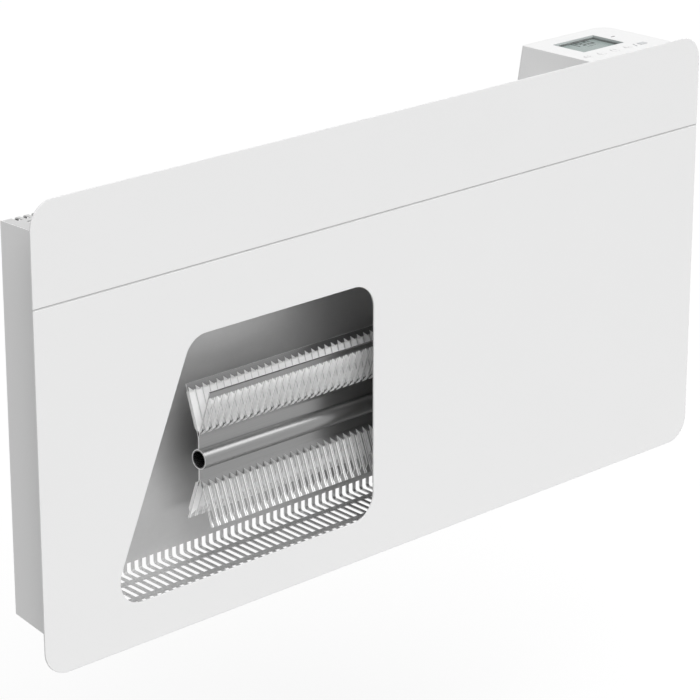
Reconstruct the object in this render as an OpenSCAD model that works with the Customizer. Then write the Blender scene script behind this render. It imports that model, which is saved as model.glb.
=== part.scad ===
// Wall convector heater: a flat front panel with a cut-away window, a slotted sheet casing behind
// it, an X-shaped lanced element, a control box at the top right and a steel wall bracket.
// Millimetres. +X to the right, +Y into the wall, +Z up. The origin is on the wall plane, at the
// centre of the wall bracket's four fixing holes.

/* [Panel] */
// Width of the front panel
panel_w = 886; // [860:2:1000]
// Height of the front panel
panel_h = 450; // [440:2:500]
// Thickness of the front panel
panel_t = 1.5; // [1:0.1:2]
// Radius of the front panel's corners
panel_r = 26; // [15:1:30]
// Distance from the wall to the panel's front face
overall_depth = 100; // [98:1:120]
// Distance from the panel's top edge down to the pressed groove
groove_drop = 97; // [90:1:110]
// Width of the pressed groove
groove_w = 2; // [1.5:0.1:3]
// Depth of the pressed groove
groove_depth = 0.6; // [0.3:0.1:0.8]
// Distance from the panel's upper edge down to the middle of the wall fixings
mount_drop = 215; // [205:1:225]

/* [Window] */
// Distance from the panel's left edge to the window's lower left corner
window_left = 76; // [60:1:90]
// Height of the window's lower edge above the panel's lower edge
window_low = 42; // [40:1:46]
// Height of the window
window_h = 244; // [230:1:250]
// Width of the window along its lower edge
window_base = 336.5; // [320:0.5:340]
// Width of the window along its upper edge
window_top = 232; // [220:1:240]
// Radius of the window's corners
window_r = 26; // [15:1:30]

/* [Casing] */
// Distance that the casing is set in from the panel's left and right edges
casing_inset = 26.5; // [20:0.5:40]
// Gap between the casing's back and the wall
wall_gap = 22; // [20:0.5:26]
// Distance from the panel's top edge down to the casing's top
casing_drop = 37.5; // [36:0.5:42]
// Height of the casing's lower rear edge above the panel's lower edge
casing_rise = 32.3; // [31:0.1:34]
// Fall of the casing's floor from its rear edge to its front edge
floor_fall = 2.4; // [1:0.1:3]
// Extra fall of the side covers' lower edge at the front
skirt_drop = 10; // [6:0.5:14]
// Thickness of the casing's sheet steel
sheet_t = 1; // [0.8:0.1:1.2]
// Outer radius of the casing's bends
bend_r = 3; // [2.5:0.1:3.5]
// Height of the turned lip at the casing's upper front edge
top_lip = 14; // [12:0.5:16]
// Height of the turned lip at the casing's lower front edge
floor_lip = 9; // [8.5:0.1:9.5]
// Thickness of the rubber spacers between the casing and the front panel
spacer_t = 3; // [2.5:0.1:3.5]

/* [Grilles] */
// Pitch of the air slots
slot_pitch = 9.43; // [9:0.01:10]
// Width of an air slot
slot_w = 5.4; // [4.5:0.1:6]
// Length of an air slot along the sheet
slot_len = 25; // [20:0.5:26]
// Band of plain sheet between two rows of slots
slot_band = 6.5; // [5:0.1:8]
// How far the rear row climbs the back wall
slot_climb = 10.3; // [8:0.1:12]
// Distance from the casing's side to the first slot's centre
slot_margin = 13.7; // [13:0.1:18]
// Length of the floor's front row of slots
front_slot_len = 14; // [10:0.5:16]
// How far the top's rear row runs forward of the casing's back
top_run = 12; // [8:0.5:16]

/* [Element] */
// Length of the heating element's finned sheets
element_len = 441; // [400:1:460]
// Distance of the tube's axis behind the panel's front face
element_back = 42; // [41:0.5:43]
// Height of the tube's axis above the panel's lower edge
element_rise = 142; // [138:1:150]
// Outer radius of the channel that the sheets form round the rod
tube_r = 10; // [9:0.1:11]
// Thickness of the aluminium fin sheets
fin_t = 0.8; // [0.6:0.1:1]
// Height of the upper fin tips above the tube's axis
fin_up = 72; // [66:1:76]
// Depth of the lower fin tips below the tube's axis
fin_down = 65; // [60:1:70]
// Distance of each fin tip from the element's middle plane
fin_spread = 17; // [15:0.5:19]
// Height above the axis where the upper fins part
upper_web = 23; // [21:0.5:26]
// Depth below the axis where the lower fins part
lower_web = 20; // [18:0.5:23]
// Pitch of the fins' louvres
louvre_pitch = 8.8; // [8.5:0.1:10]
// Width of a louvre
louvre_w = 6.5; // [6:0.1:7]
// Height of a louvre's lip above its fin
louvre_rise = 4.6; // [4:0.1:5]
// Length of a louvre's folded ends
louvre_fold = 5.5; // [5:0.1:6.5]
// Outer radius of the heating rod's sheath
rod_r = 9.1; // [8:0.05:9.1]
// Wall of the heating rod's sheath
rod_wall = 0.7; // [0.5:0.1:1]
// Distance from the middle of the heater to each element bracket
bracket_offset = 115; // [100:5:120]

/* [Control box] */
// Distance from the panel's right edge to the control box's top right edge
control_right = 42; // [36:1:48]
// Width of the control box's top
control_w = 125.5; // [122:0.5:130]
// Distance of the control box's top below the panel's top edge
control_drop = 0.5; // [0.2:0.1:2]
// Gap between the control box and the wall
control_gap = 2; // [1:0.1:4]
// Gap between the control box and the front panel
control_front_gap = 0.5; // [0.4:0.1:1]
// Amount that each side of the control box spreads from its top to its foot
control_flare = 7; // [4:0.5:9]
// Wall of the control box
control_wall = 2.2; // [1.8:0.1:2.4]
// Radius of the control box's rear right corner
control_r = 18; // [10:1:20]
// Width of the display recess
lcd_w = 62; // [56:1:66]
// Depth of the display recess from front to back
lcd_d = 44; // [38:1:48]
// Depth of the display recess below the top
lcd_recess = 2.5; // [2:0.1:3]
// Radius of a round button
button_r = 4.6; // [4:0.1:5]
// Pitch of the round buttons
button_pitch = 20; // [16:0.5:20]
// Travel of a button
button_travel = 0.8; // [0.5:0.1:1]
// Thickness of the circuit boards
board_t = 1.6; // [1:0.1:2]

/* [Wall bracket] */
// Spacing of the fixing holes along the wall
fix_spacing_x = 330; // [300:5:340]
// Spacing of the fixing holes up the wall
fix_spacing_z = 200; // [180:5:220]
// Radius of a fixing hole
fix_hole_r = 3; // [2.5:0.1:3.5]
// Thickness of the bracket's steel
bracket_t = 1.8; // [1.5:0.1:2]
// Width of the bracket's uprights
upright_w = 34; // [32:1:40]
// Height of a latch's nose above its pivot
latch_arm = 40; // [36:1:42]

/* [Hidden] */

// Round parts, cuts and clearances
$fn = 48;
over = 1;
clear = 0.3;
snug = 0.1;
run_fit = 0.05;
bend_steps = 4;
corner_steps = 14;

// Places that the pieces share
panel_x0 = -panel_w / 2;
panel_z1 = mount_drop;
panel_z0 = panel_z1 - panel_h;
front_y = -overall_depth;
panel_back = front_y + panel_t;
groove_z = panel_z1 - groove_drop;
back_y = -wall_gap;
inner_y = back_y - sheet_t;
lip_y = panel_back + spacer_t;
casing_w = panel_w - 2 * casing_inset;
casing_x0 = -casing_w / 2;
casing_x1 = casing_w / 2;
casing_z1 = panel_z1 - casing_drop;
casing_z0 = panel_z0 + casing_rise;
floor_front_z = casing_z0 - floor_fall;
window_corners = [[window_left, window_low],
    [window_left + window_base - window_top, window_low + window_h],
    [window_left + window_base, window_low + window_h],
    [window_left + window_base, window_low]];

// Casing details
lip_r = 1.5;
shell_x0 = casing_x0 + sheet_t + snug;
shell_w = -2 * shell_x0;
flange_w = 10;
flange_z0 = casing_z0 + slot_climb + clear;
flange_z1 = casing_z1 - top_lip - clear;
flange_h = flange_z1 - flange_z0;
side_screw_r = 1.75;
side_screw_len = 7;
side_screw_head_r = 3.4;
side_screw_head_h = 1.8;
side_screw_count = 4;
side_screw_margin = 24;
side_screw_pitch = (flange_h - 2 * side_screw_margin) / (side_screw_count - 1);
side_screw_x = casing_x1 - sheet_t - flange_w / 2;

// Air slots
rear_run = slot_len - slot_climb + bend_r * (2 - PI / 2);
row_two_y = back_y - rear_run - slot_band - slot_len;
row_three_y = row_two_y - slot_band;
top_row_two_y = back_y - top_run - slot_band - slot_len;
top_row_three_y = top_row_two_y - slot_band;
top_front_len = top_row_three_y - lip_y - sheet_t - bend_r;
slot_x0 = casing_x0 + slot_margin;
floor_slot_count = floor((casing_w - 2 * slot_margin) / slot_pitch) + 1;

// Studs that hold the front panel on the casing's lips
stud_r = 2;
stud_hole_r = stud_r + clear;
nut_h = 3.2;
nut_flats = 7;
stud_tail = 1.5;
stud_len = spacer_t + sheet_t + nut_h + stud_tail;
spacer_r = 4.2;
top_stud_margin = 56;
top_stud_z = casing_z1 - top_lip / 2;
low_stud_z = floor_front_z + sheet_t + lip_r + nut_flats / 2;
low_stud_margin = 25;
low_stud_middle = 40;
low_lip_room = floor_front_z + floor_lip - low_stud_z;
low_spacer_r = min(spacer_r, low_lip_room);
top_stud_pitch = (casing_w - 2 * top_stud_margin) / 3;
stud_places = concat([for (i = [0:3]) [casing_x0 + top_stud_margin + i * top_stud_pitch, top_stud_z]],
    [for (x = [casing_x0 + low_stud_margin, low_stud_middle, casing_x1 - low_stud_margin])
        [x, low_stud_z]]);

// Control box
control_x1 = panel_w / 2 - control_right;
control_x0 = control_x1 - control_w;
control_z1 = panel_z1 - control_drop;
control_z0 = casing_z1;
control_y0 = panel_back + control_front_gap;
control_y1 = -control_gap;
control_edge_r = 3;
control_inner_z = control_z1 - control_wall;
foot_x0 = control_x0 - control_flare;
foot_x1 = control_x1 + control_flare;
control_h = control_z1 - control_z0;
base_t = 2;
base_top = control_z0 + base_t;

// Display
lcd_left = 25;
lcd_front = 34;
lcd_x0 = control_x0 + lcd_left;
lcd_y0 = front_y + lcd_front;
lens_t = 1.2;
lens_ledge = 1.5;
frame_rim = 1.5;
frame_skirt = 0.8;
lens_z = control_z1 - lcd_recess - lens_t;
module_t = 5;
module_inset = 1;
module_top = lens_z - clear;
board_top = module_top - module_t;
board_bottom = board_top - board_t;
board_gap = 1.2;
display_x0 = control_x0 + control_wall + board_gap;
display_w = control_w - 2 * (control_wall + board_gap);
display_y0 = control_y0 + control_wall + board_gap;
display_d = control_y1 - control_wall - board_gap - display_y0;
display_notch = control_r;

// Buttons
button_left = 15;
button_front = 18.5;
button_count = 4;
button_y = front_y + button_front;
button_proud = 0.4;
button_flange = 1.6;
button_flange_t = 1;
button_flange_top = control_inner_z - clear;
stem_r = 1.8;
stem_len = 0.6;
stem_z = button_flange_top - button_flange_t - stem_len;
ok_left = 97.3;
ok_w = 9.5;
ok_d = 6.5;
ok_x = control_x0 + ok_left;
symbol_depth = 0.25;
symbol_w = 0.7;
symbol_size = 4.2;
switch_size = 6;
plunger_r = 1.7;
plunger_h = 0.6;
switch_body_h = stem_z - button_travel - clear - plunger_h - board_top;
button_places = concat([for (i = [0:button_count - 1]) control_x0 + button_left + i * button_pitch],
    [ok_x]);

// Indicator
indicator_front = 59;
indicator_w = 6.4;
indicator_d = 2.2;

// Screw posts under the control box's top
post_r = 3.2;
post_inset = 6;
post_hole_r = 1.1;
post_hole_depth = 6;
board_screw_r = 1.05;
board_screw_head_r = 2.4;
board_screw_head_h = 1.4;
board_screw_len = 6;
pillar_bite = 3.2;
board_screw_hole_r = 1.4;
post_places = [[display_x0 + post_inset, display_y0 + post_inset + 2 * post_r + button_front / 2],
    [display_x0 + display_w - post_inset, display_y0 + post_inset + 2 * post_r + button_front / 2],
    [display_x0 + post_inset, display_y0 + display_d - post_inset],
    [display_x0 + display_w - display_notch - post_inset, display_y0 + display_d - post_inset]];

// Power board and what stands on it
pillar_h = 7;
pillar_r = 2.6;
power_inset = 9;
power_x0 = foot_x0 + control_wall + power_inset;
power_w = 108;
power_y0 = control_y0 + control_wall + power_inset;
power_d = 46;
power_z = base_top + pillar_h;
power_top = power_z + board_t;
pillar_inset = 4.5;
pillar_places = [for (x = [power_x0 + pillar_inset, power_x0 + power_w - pillar_inset],
    y = [power_y0 + pillar_inset, power_y0 + power_d - pillar_inset]) [x, y]];
relay_size = [28, 12.5, 12.5];
transformer_size = [34, 28, 13.5];
block_size = [30, 14, 12.5];
header_size = [20, 5];
pole_count = 3;
component_gap = 4;
relay_at = [power_x0 + 3 * component_gap, power_y0 + 2 * component_gap];
transformer_at = [power_x0 + power_w - transformer_size[0] - 3 * component_gap,
    power_y0 + 2 * component_gap];
header_at = [power_x0 + power_w - header_size[0] - 3 * component_gap,
    power_y0 + power_d - header_size[1] - component_gap / 2];

// Cord inlet behind the casing
leg_w = 60;
leg_drop = 45;
leg_wall = 2;
leg_x0 = control_x0 + lcd_left;
leg_y0 = back_y + clear;
leg_y1 = control_y1 - control_wall - snug;
leg_z0 = control_z0 - leg_drop;
gland_x = leg_x0 + leg_w / 2;
gland_y = (leg_y0 + leg_y1) / 2;
gland_thread_r = 6;
gland_hole_r = gland_thread_r + snug;
gland_bore_r = 4;
cord_bore_r = 3.3;
gland_flats = 15;
gland_flange_h = 3;
gland_inside = 6;
gland_body_len = 9;
gland_len = gland_body_len + gland_flange_h + leg_wall + gland_inside;
gland_cap_len = 15;
gland_nose_h = gland_cap_len - gland_body_len;
gland_cap_r = 7.2;
gland_nose_r = 5;

// Opening in the casing's top for the leads
lead_hole_w = 40;
lead_hole_d = 12;
lead_hole_x = control_x0 + lcd_left;
lead_hole_y = back_y - bend_r - lead_hole_d - sheet_t;
lead_rise_x = lead_hole_x + lead_hole_w / 2;
lead_rise_y = lead_hole_y + lead_hole_d / 2;
block_at = [lead_rise_x - block_size[0] / 2, power_y0 + power_d - block_size[1] - component_gap];

// Element
element_y = front_y + element_back;
element_z = panel_z0 + element_rise;
partition_gap = 8;
partition_x = foot_x0 - partition_gap;
element_gap = 40;
element_x1 = partition_x - element_gap;
element_x0 = element_x1 - element_len;
channel_in_r = tube_r - fin_t;
vertex_r = 2.5;
hem_len = 3;
louvre_gap_vertex = 2.5;
louvre_gap_hem = 0.4;
louvre_gap_edge = hem_len + louvre_gap_hem;
louvre_gap_brow = 2 * hem_len;
louvre_margin = 1;
louvre_count = floor((element_len + louvre_pitch - louvre_w - 2 * louvre_margin) / louvre_pitch);
louvre_x0 = element_x0 + (element_len - (louvre_count - 1) * louvre_pitch - louvre_w) / 2;
louvre_kerf = 0.3;
// Depth that a louvre's folded edges run into the fin, and its loss of thickness when it is drawn
louvre_root = 0.1;
rod_recess = 24;
rod_tail = 9;
rod_x1 = element_x1 + rod_tail;
seal_len = 7;
terminal_len = 14;
terminal_w = 5;
terminal_t = 0.8;
terminal_gap = 3.2;

// Element brackets
saddle_t = 1.5;
saddle_in_r = tube_r + snug;
saddle_w = 20;
tab_len = 8;
arm_drop = 5;
foot_len = 30;
arm_y0 = sqrt(pow(saddle_in_r + saddle_t / 2, 2) - pow(arm_drop, 2));
rivet_r = 1.6;
rivet_hole_r = rivet_r + run_fit;
rivet_head_r = 3;
rivet_head_h = 1;

// Partition beside the electronics
partition_flange = 12;
partition_margin = 40;
top_slot_count = floor((partition_x - slot_pitch - slot_x0) / slot_pitch) + 1;
grommet_r = 9;
grommet_bore_r = 5;
grommet_lip = 2;
grommet_lip_t = 1.2;
grommet_z = element_z;
grommet_y = element_y;
partition_z0 = casing_z0 + sheet_t + clear;
partition_z1 = casing_z1 - sheet_t - clear;
partition_relief = bend_r + slot_climb;

// Thermal cut-out
cutout_step = 6.5;
cutout_x = rod_x1 + cutout_step;
cutout_above = 108;
cutout_z = element_z + cutout_above;
shelf_len = 26;
shelf_w = 22;
shelf_t = 1.2;
shelf_foot = 32;
cutout_y = inner_y - shelf_len / 2 - 2 * shelf_t;
cutout_r = 8;
cutout_h = 6;
cutout_flange_r = 10;
blade_w = 6.3;
blade_t = 0.8;
blade_len = 8;

// Where rivets pass through the casing's back
partition_rivets = [for (z = [partition_z0 + partition_margin, partition_z1 - partition_margin])
    [partition_x + sheet_t + (partition_flange - sheet_t) / 2, z]];
foot_z1 = element_z - arm_drop;
foot_rivets = [for (x = [-bracket_offset, bracket_offset], s = [1, 3])
    [x, foot_z1 - foot_len * s / 4]];
cutout_rivets = [[cutout_x, cutout_z - 3 * shelf_foot / 4]];
rivet_places = concat(partition_rivets, foot_rivets, cutout_rivets);

// Room sensor on the casing's floor
sensor_inset = 30;
sensor_x = casing_x1 - sensor_inset;
sensor_y = -60;
sensor_base = 12;
sensor_h = 18;
sensor_bead_r = 2.5;
sensor_stem_r = 2;
floor_slope = atan(floor_fall / (back_y - lip_y - sheet_t));
function floor_top(y) = casing_z0 + sheet_t / 2 + sheet_t / 2 / cos(floor_slope)
    - (back_y - sheet_t / 2 - y) * tan(floor_slope);

// Earth stud
earth_offset = 30;
earth_x = partition_x + earth_offset;
earth_z = 20;
earth_len = 14;
washer_r = 5;
washer_t = 1;
tag_t = 1;
tag_w = 5;
tag_len = 14;

// Wall bracket
upright_x = fix_spacing_x / 2;
upright_over = 22;
upright_z0 = -fix_spacing_z / 2 - upright_over;
upright_z1 = fix_spacing_z / 2 + upright_over;
bar_h = 40;
stand_y = back_y;
hook_h = 12;
hook_tip = 4;
hook_rise = 10;
hook_z = upright_z0 + 2 * clear;
hook_slot_w = bracket_t + 4 * clear;
flange_in = upright_w / 2 - bracket_t;
pivot_r = 2.5;
pivot_z = upright_z1 - 2 * pivot_r - 2 * bracket_t;
pivot_y = back_y / 2;
latch_t = bracket_t;
latch_half = 4;
latch_nose_z = pivot_z + latch_arm;
latch_nose_h = 7;
latch_reach = 2;
latch_tab = casing_z1 - latch_nose_z - latch_nose_h - 2 * latch_half;
latch_slot_h = latch_nose_h + 8 * clear;
pivot_head_r = 4.5;
pivot_head_t = 1.5;

// Distance pieces at the casing's lower corners
stand_off_r = 9;
stand_off_inset = 60;
stand_off_rise = 45;
stand_off_x = casing_x1 - stand_off_inset;
stand_off_z = casing_z0 + stand_off_rise;
stand_off_plug_r = 4;
stand_off_plug_len = 4;

// Leads
lead_r = 1.4;
lead_sides = 8;
lead_steps = 3;
block_mouths = [for (i = [0:pole_count - 1]) block_at[0] + block_size[0] * (i + 1 / 2) / pole_count];
mouth_z = power_top + block_size[2] / 4;
mouth_y = block_at[1] + block_size[1] / 2;
lead_bend = 40;
lead_sweep = 16;
terminal_x = rod_x1 + sheet_t + terminal_len;
grommet_mid_x = partition_x + sheet_t / 2;
blade_z = cutout_z - shelf_t - cutout_h - blade_len;
pair_gap = lead_r + run_fit;
sensor_lead_x = lead_hole_x + lead_hole_w - 2 * lead_r;
function rise_points(x) = [
    [x, lead_rise_y, casing_z1 - lead_bend],
    [x, lead_rise_y, base_top],
    [x, (lead_rise_y + block_at[1] + block_size[1]) / 2, mouth_z],
    [x, mouth_y, mouth_z]];

function unit(v) = v / norm(v);
function reversed(list) = [for (i = [len(list) - 1:-1:0]) list[i]];
function lifted(points, by) = [for (p = points) [p[0], p[1], (len(p) > 2 ? p[2] : 0) + by]];
function normal_left(a, b) = let(d = unit(b - a)) [-d[1], d[0]];
function turn(a, b, c) = sign((b - a)[0] * (c - b)[1] - (b - a)[1] * (c - b)[0]);

// Points and left normals of the fillet of radius r at corner b
function bend(a, b, c, r, steps) = let(
    u = unit(a - b),
    v = unit(c - b),
    half = acos(u * v) / 2,
    side = turn(a, b, c),
    centre = b + unit(u + v) * r / sin(half),
    start = b + u * r / tan(half) - centre,
    from = atan2(start[1], start[0]),
    sweep = side * (180 - 2 * half))
    [for (i = [0:steps])
        let(d = [cos(from + sweep * i / steps), sin(from + sweep * i / steps)])
        [centre + r * d, -side * d]];

// A strip of sheet that follows a path, bent to the radii at its inner corners
function bent_path(pts, radii, steps) = let(n = len(pts)) concat(
    [[pts[0], normal_left(pts[0], pts[1])]],
    [for (i = [1:1:n - 2]) each bend(pts[i - 1], pts[i], pts[i + 1], radii[i - 1], steps)],
    [[pts[n - 1], normal_left(pts[n - 2], pts[n - 1])]]);

// A polygon's points with each corner rounded
function rounded(pts, radii) = let(n = len(pts))
    [for (i = [0:n - 1])
        each [for (q = bend(pts[(i + n - 1) % n], pts[i], pts[(i + 1) % n], radii[i],
            corner_steps)) q[0]]];

// A smooth path through the given points
function spline_point(a, b, c, d, t) = ((2 * b) + (c - a) * t
    + (2 * a - 5 * b + 4 * c - d) * pow(t, 2) + (3 * b - a - 3 * c + d) * pow(t, 3)) / 2;
function smooth_path(pts, steps) = let(n = len(pts)) concat(
    [for (i = [0:n - 2], k = [0:steps - 1])
        spline_point(pts[max(i - 1, 0)], pts[i], pts[i + 1], pts[min(i + 2, n - 1)], k / steps)],
    [pts[n - 1]]);

module strip(pts, radii, t, steps = bend_steps) {
    path = bent_path(pts, radii, steps);
    last = len(path) - 1;
    polygon(concat([for (p = path) p[0] + p[1] * t / 2],
        [for (i = [last:-1:0]) path[i][0] - path[i][1] * t / 2]));
}

module along_x(length) rotate([90, 0, 90]) linear_extrude(length) children();
module along_y(length) rotate([90, 0, 0]) linear_extrude(length) children();

// A cylinder along X, Y or Z from its near end
module bar_x(r, length) rotate([0, 90, 0]) cylinder(r = r, h = length);
module bar_y(r, length) rotate([-90, 0, 0]) cylinder(r = r, h = length);

module round_rect(w, h, r) {
    translate([r, 0]) square([w - 2 * r, h]);
    translate([0, r]) square([w, h - 2 * r]);
    for (x = [r, w - r], y = [r, h - r]) translate([x, y]) circle(r);
}

module slot_row(x_first, count, y0, length, z0, height)
    for (i = [0:count - 1])
        translate([x_first + i * slot_pitch - slot_w / 2, y0, z0]) cube([slot_w, length, height]);

// A tube swept along points, each ring facing its neighbours' direction
module lead(pts) {
    n = len(pts);
    rings = [for (i = [0:n - 1])
        let(d = unit(pts[min(i + 1, n - 1)] - pts[max(i - 1, 0)]),
            side = unit(cross(d, abs(d[0]) > cos(45) ? [0, 1, 0] : [1, 0, 0])),
            up = cross(side, d))
        each [for (k = [0:lead_sides - 1])
            let(a = 360 * k / lead_sides) pts[i] + lead_r * (cos(a) * side + sin(a) * up)]];
    walls = [for (i = [0:n - 2], k = [0:lead_sides - 1])
        let(a = i * lead_sides + k, b = i * lead_sides + (k + 1) % lead_sides)
        each [[a, b, b + lead_sides], [a, b + lead_sides, a + lead_sides]]];
    near = [for (k = [1:lead_sides - 2]) [0, k + 1, k]];
    base = (n - 1) * lead_sides;
    far = [for (k = [1:lead_sides - 2]) [base, base + k, base + k + 1]];
    polyhedron(concat(rings), concat(walls, near, far));
}

module front_panel() color("whitesmoke") difference() {
    union() {
        translate([panel_x0, panel_back, panel_z0]) along_y(panel_t) difference() {
            round_rect(panel_w, panel_h, panel_r);
            polygon(rounded(window_corners, [for (c = window_corners) window_r]));
        }
        translate([panel_x0 + panel_r, panel_back, groove_z - groove_w / 2])
            cube([panel_w - 2 * panel_r, groove_depth, groove_w]);
        for (p = stud_places) translate([p[0], panel_back - panel_t / 2, p[1]])
            bar_y(stud_r, stud_len + panel_t / 2);
    }
    translate([panel_x0 - over, front_y - over, groove_z - groove_w / 2])
        cube([panel_w + 2 * over, groove_depth + over, groove_w]);
}

module panel_spacers() color("dimgray") for (p = stud_places)
    translate([p[0], panel_back, p[1]]) difference() {
        bar_y(p[1] == low_stud_z ? low_spacer_r : spacer_r, spacer_t);
        translate([0, -over, 0]) bar_y(stud_hole_r, spacer_t + 2 * over);
    }

module panel_nuts() color("silver") for (p = stud_places)
    translate([p[0], lip_y + sheet_t, p[1]]) difference() {
        rotate([-90, 0, 0]) cylinder(d = nut_flats / cos(30), h = nut_h, $fn = 6);
        translate([0, -over, 0]) bar_y(stud_r + run_fit, nut_h + 2 * over);
    }

// Slots, holes and openings in the casing
module casing_cuts() {
    slot_row(slot_x0, floor_slot_count, back_y - rear_run, rear_run + over,
        floor_front_z - over, casing_z0 + slot_climb - floor_front_z + over);
    for (row = [[row_two_y, slot_len], [row_three_y - front_slot_len, front_slot_len]])
        slot_row(slot_x0, floor_slot_count, row[0], row[1],
            floor_front_z - over, floor_fall + sheet_t + 2 * over);
    slot_row(slot_x0, top_slot_count, back_y - top_run, top_run + over,
        casing_z1 - slot_climb, slot_climb + over);
    slot_row(slot_x0 + slot_pitch / 2, top_slot_count - 1, top_row_two_y, slot_len,
        casing_z1 - sheet_t - over, sheet_t + 2 * over);
    slot_row(slot_x0, top_slot_count, top_row_three_y - top_front_len, top_front_len,
        casing_z1 - sheet_t - over, sheet_t + 2 * over);
    for (p = stud_places) translate([p[0], lip_y - over, p[1]])
        bar_y(stud_hole_r, sheet_t + 2 * over);
    for (m = [0, 1]) mirror([m, 0, 0]) {
        for (i = [0:side_screw_count - 1])
            translate([side_screw_x, inner_y - over,
                flange_z0 + side_screw_margin + i * side_screw_pitch])
                bar_y(side_screw_r + run_fit, sheet_t + 2 * over);
        for (s = [-1, 1])
            translate([upright_x + s * (flange_in + bracket_t / 2) - hook_slot_w / 2,
                inner_y - over, hook_z - hook_rise - 3 * clear])
                cube([hook_slot_w, sheet_t + 2 * over, hook_h + hook_rise + 3 * clear]);
        translate([upright_x + flange_in - latch_t - 3 * clear,
            inner_y - over, latch_nose_z - 2 * clear])
            cube([latch_t + 4 * clear, sheet_t + 2 * over, latch_slot_h]);
        translate([stand_off_x, inner_y - over, stand_off_z])
            bar_y(stand_off_plug_r + snug, sheet_t + 2 * over);
    }
    for (p = rivet_places) translate([p[0], inner_y - over, p[1]])
        bar_y(rivet_hole_r, sheet_t + 2 * over);
    translate([earth_x, inner_y - over, earth_z]) bar_y(stud_r + run_fit, sheet_t + 2 * over);
    translate([lead_hole_x, lead_hole_y, casing_z1 - sheet_t - over])
        cube([lead_hole_w, lead_hole_d, sheet_t + 2 * over]);
    for (p = pillar_places) translate([p[0], p[1], casing_z1 - sheet_t - over])
        cylinder(r = board_screw_hole_r, h = sheet_t + 2 * over);
}

module rear_casing() color("gainsboro") difference() {
    translate([shell_x0, 0, 0]) along_x(shell_w) strip([
        [lip_y + sheet_t / 2, casing_z1 - top_lip],
        [lip_y + sheet_t / 2, casing_z1 - sheet_t / 2],
        [back_y - sheet_t / 2, casing_z1 - sheet_t / 2],
        [back_y - sheet_t / 2, casing_z0 + sheet_t / 2],
        [lip_y + sheet_t / 2, floor_front_z + sheet_t / 2],
        [lip_y + sheet_t / 2, floor_front_z + floor_lip]],
        [lip_r - sheet_t / 2, bend_r - sheet_t / 2, bend_r - sheet_t / 2, lip_r - sheet_t / 2],
        sheet_t);
    casing_cuts();
}

// A side cover for the left end, with flanges behind the panel and inside the casing's back
module side_cover() difference() {
    union() {
        translate([casing_x0, 0, 0]) along_x(sheet_t) polygon([
            [lip_y, casing_z1], [inner_y, casing_z1],
            [inner_y, casing_z0], [lip_y, floor_front_z - skirt_drop]]);
        translate([0, 0, flange_z0]) linear_extrude(flange_h) strip([
            [casing_x0 + flange_w, lip_y + sheet_t / 2],
            [casing_x0 + sheet_t / 2, lip_y + sheet_t / 2],
            [casing_x0 + sheet_t / 2, inner_y - sheet_t / 2],
            [casing_x0 + flange_w, inner_y - sheet_t / 2]],
            [lip_r - sheet_t / 2, lip_r - sheet_t / 2], sheet_t);
    }
    for (i = [0:side_screw_count - 1])
        translate([-side_screw_x, inner_y - sheet_t - over,
            flange_z0 + side_screw_margin + i * side_screw_pitch])
            bar_y(side_screw_r + run_fit, sheet_t + 2 * over);
}

module left_side_cover() color("lightgray") side_cover();
module right_side_cover() color("lightgray") mirror([1, 0, 0]) side_cover();

module casing_screws() color("silver") for (m = [0, 1]) mirror([m, 0, 0])
    for (i = [0:side_screw_count - 1])
        translate([side_screw_x, back_y, flange_z0 + side_screw_margin + i * side_screw_pitch]) {
            bar_y(side_screw_head_r, side_screw_head_h);
            translate([0, -side_screw_len, 0]) bar_y(side_screw_r, side_screw_len + run_fit);
        }

// The partition: a plate across the casing with a flange on its back wall
module partition_plate() color("silver") difference() {
    union() {
        translate([partition_x, 0, 0]) along_x(sheet_t) polygon([
            [lip_y + sheet_t + clear, casing_z1 - top_lip - clear],
            [lip_y + sheet_t + lip_r, partition_z1], [inner_y - bend_r, partition_z1],
            [inner_y, partition_z1 - bend_r], [inner_y, partition_z0 + bend_r],
            [inner_y - bend_r, partition_z0], [lip_y + sheet_t + lip_r, partition_z0],
            [lip_y + sheet_t + clear, floor_front_z + floor_lip + clear]]);
        translate([partition_x, inner_y - sheet_t, partition_z0 + partition_relief])
            cube([partition_flange, sheet_t, partition_z1 - partition_z0 - 2 * partition_relief]);
    }
    translate([partition_x - over, grommet_y, grommet_z])
        bar_x(grommet_r - grommet_lip, sheet_t + 2 * over);
    for (p = partition_rivets) translate([p[0], inner_y - sheet_t - over, p[1]])
        bar_y(rivet_hole_r, sheet_t + 2 * over);
}

// Dome rivets through the back wall and what it carries
module sheet_rivets() color("silver") {
    for (p = partition_rivets) rivet(p, sheet_t);
    for (p = foot_rivets) rivet(p, saddle_t);
    for (p = cutout_rivets) rivet(p, shelf_t);
}

module rivet(place, carried_t) translate([place[0], back_y, place[1]]) {
    bar_y(rivet_head_r, rivet_head_h);
    translate([0, -sheet_t - carried_t - run_fit, 0])
        bar_y(rivet_r, sheet_t + carried_t + 2 * run_fit);
    translate([0, -sheet_t - carried_t - rivet_head_h, 0]) bar_y(rivet_head_r, rivet_head_h);
}

// The front half of the X-shaped element, as Y and Z offsets from the tube's axis
upper_vertex = [-fin_t / 2, upper_web];
upper_tip = [-fin_spread, fin_up];
lower_vertex = [-fin_t / 2, -lower_web];
lower_tip = [-fin_spread, -fin_down];

module half_section() {
    for (side = [1, -1]) {
        vertex = side > 0 ? upper_vertex : lower_vertex;
        tip = side > 0 ? upper_tip : lower_tip;
        strip([[-fin_t / 2, side * (channel_in_r + fin_t / 4)], vertex, tip], [vertex_r], fin_t);
        hem_root = tip + hem_len * unit(vertex - tip);
        strip([hem_root, tip], [], 2 * fin_t);
    }
    difference() {
        circle(tube_r, $fn = 96);
        circle(channel_in_r, $fn = 96);
        translate([0, -2 * tube_r]) square([2 * tube_r, 4 * tube_r]);
    }
}

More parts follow.
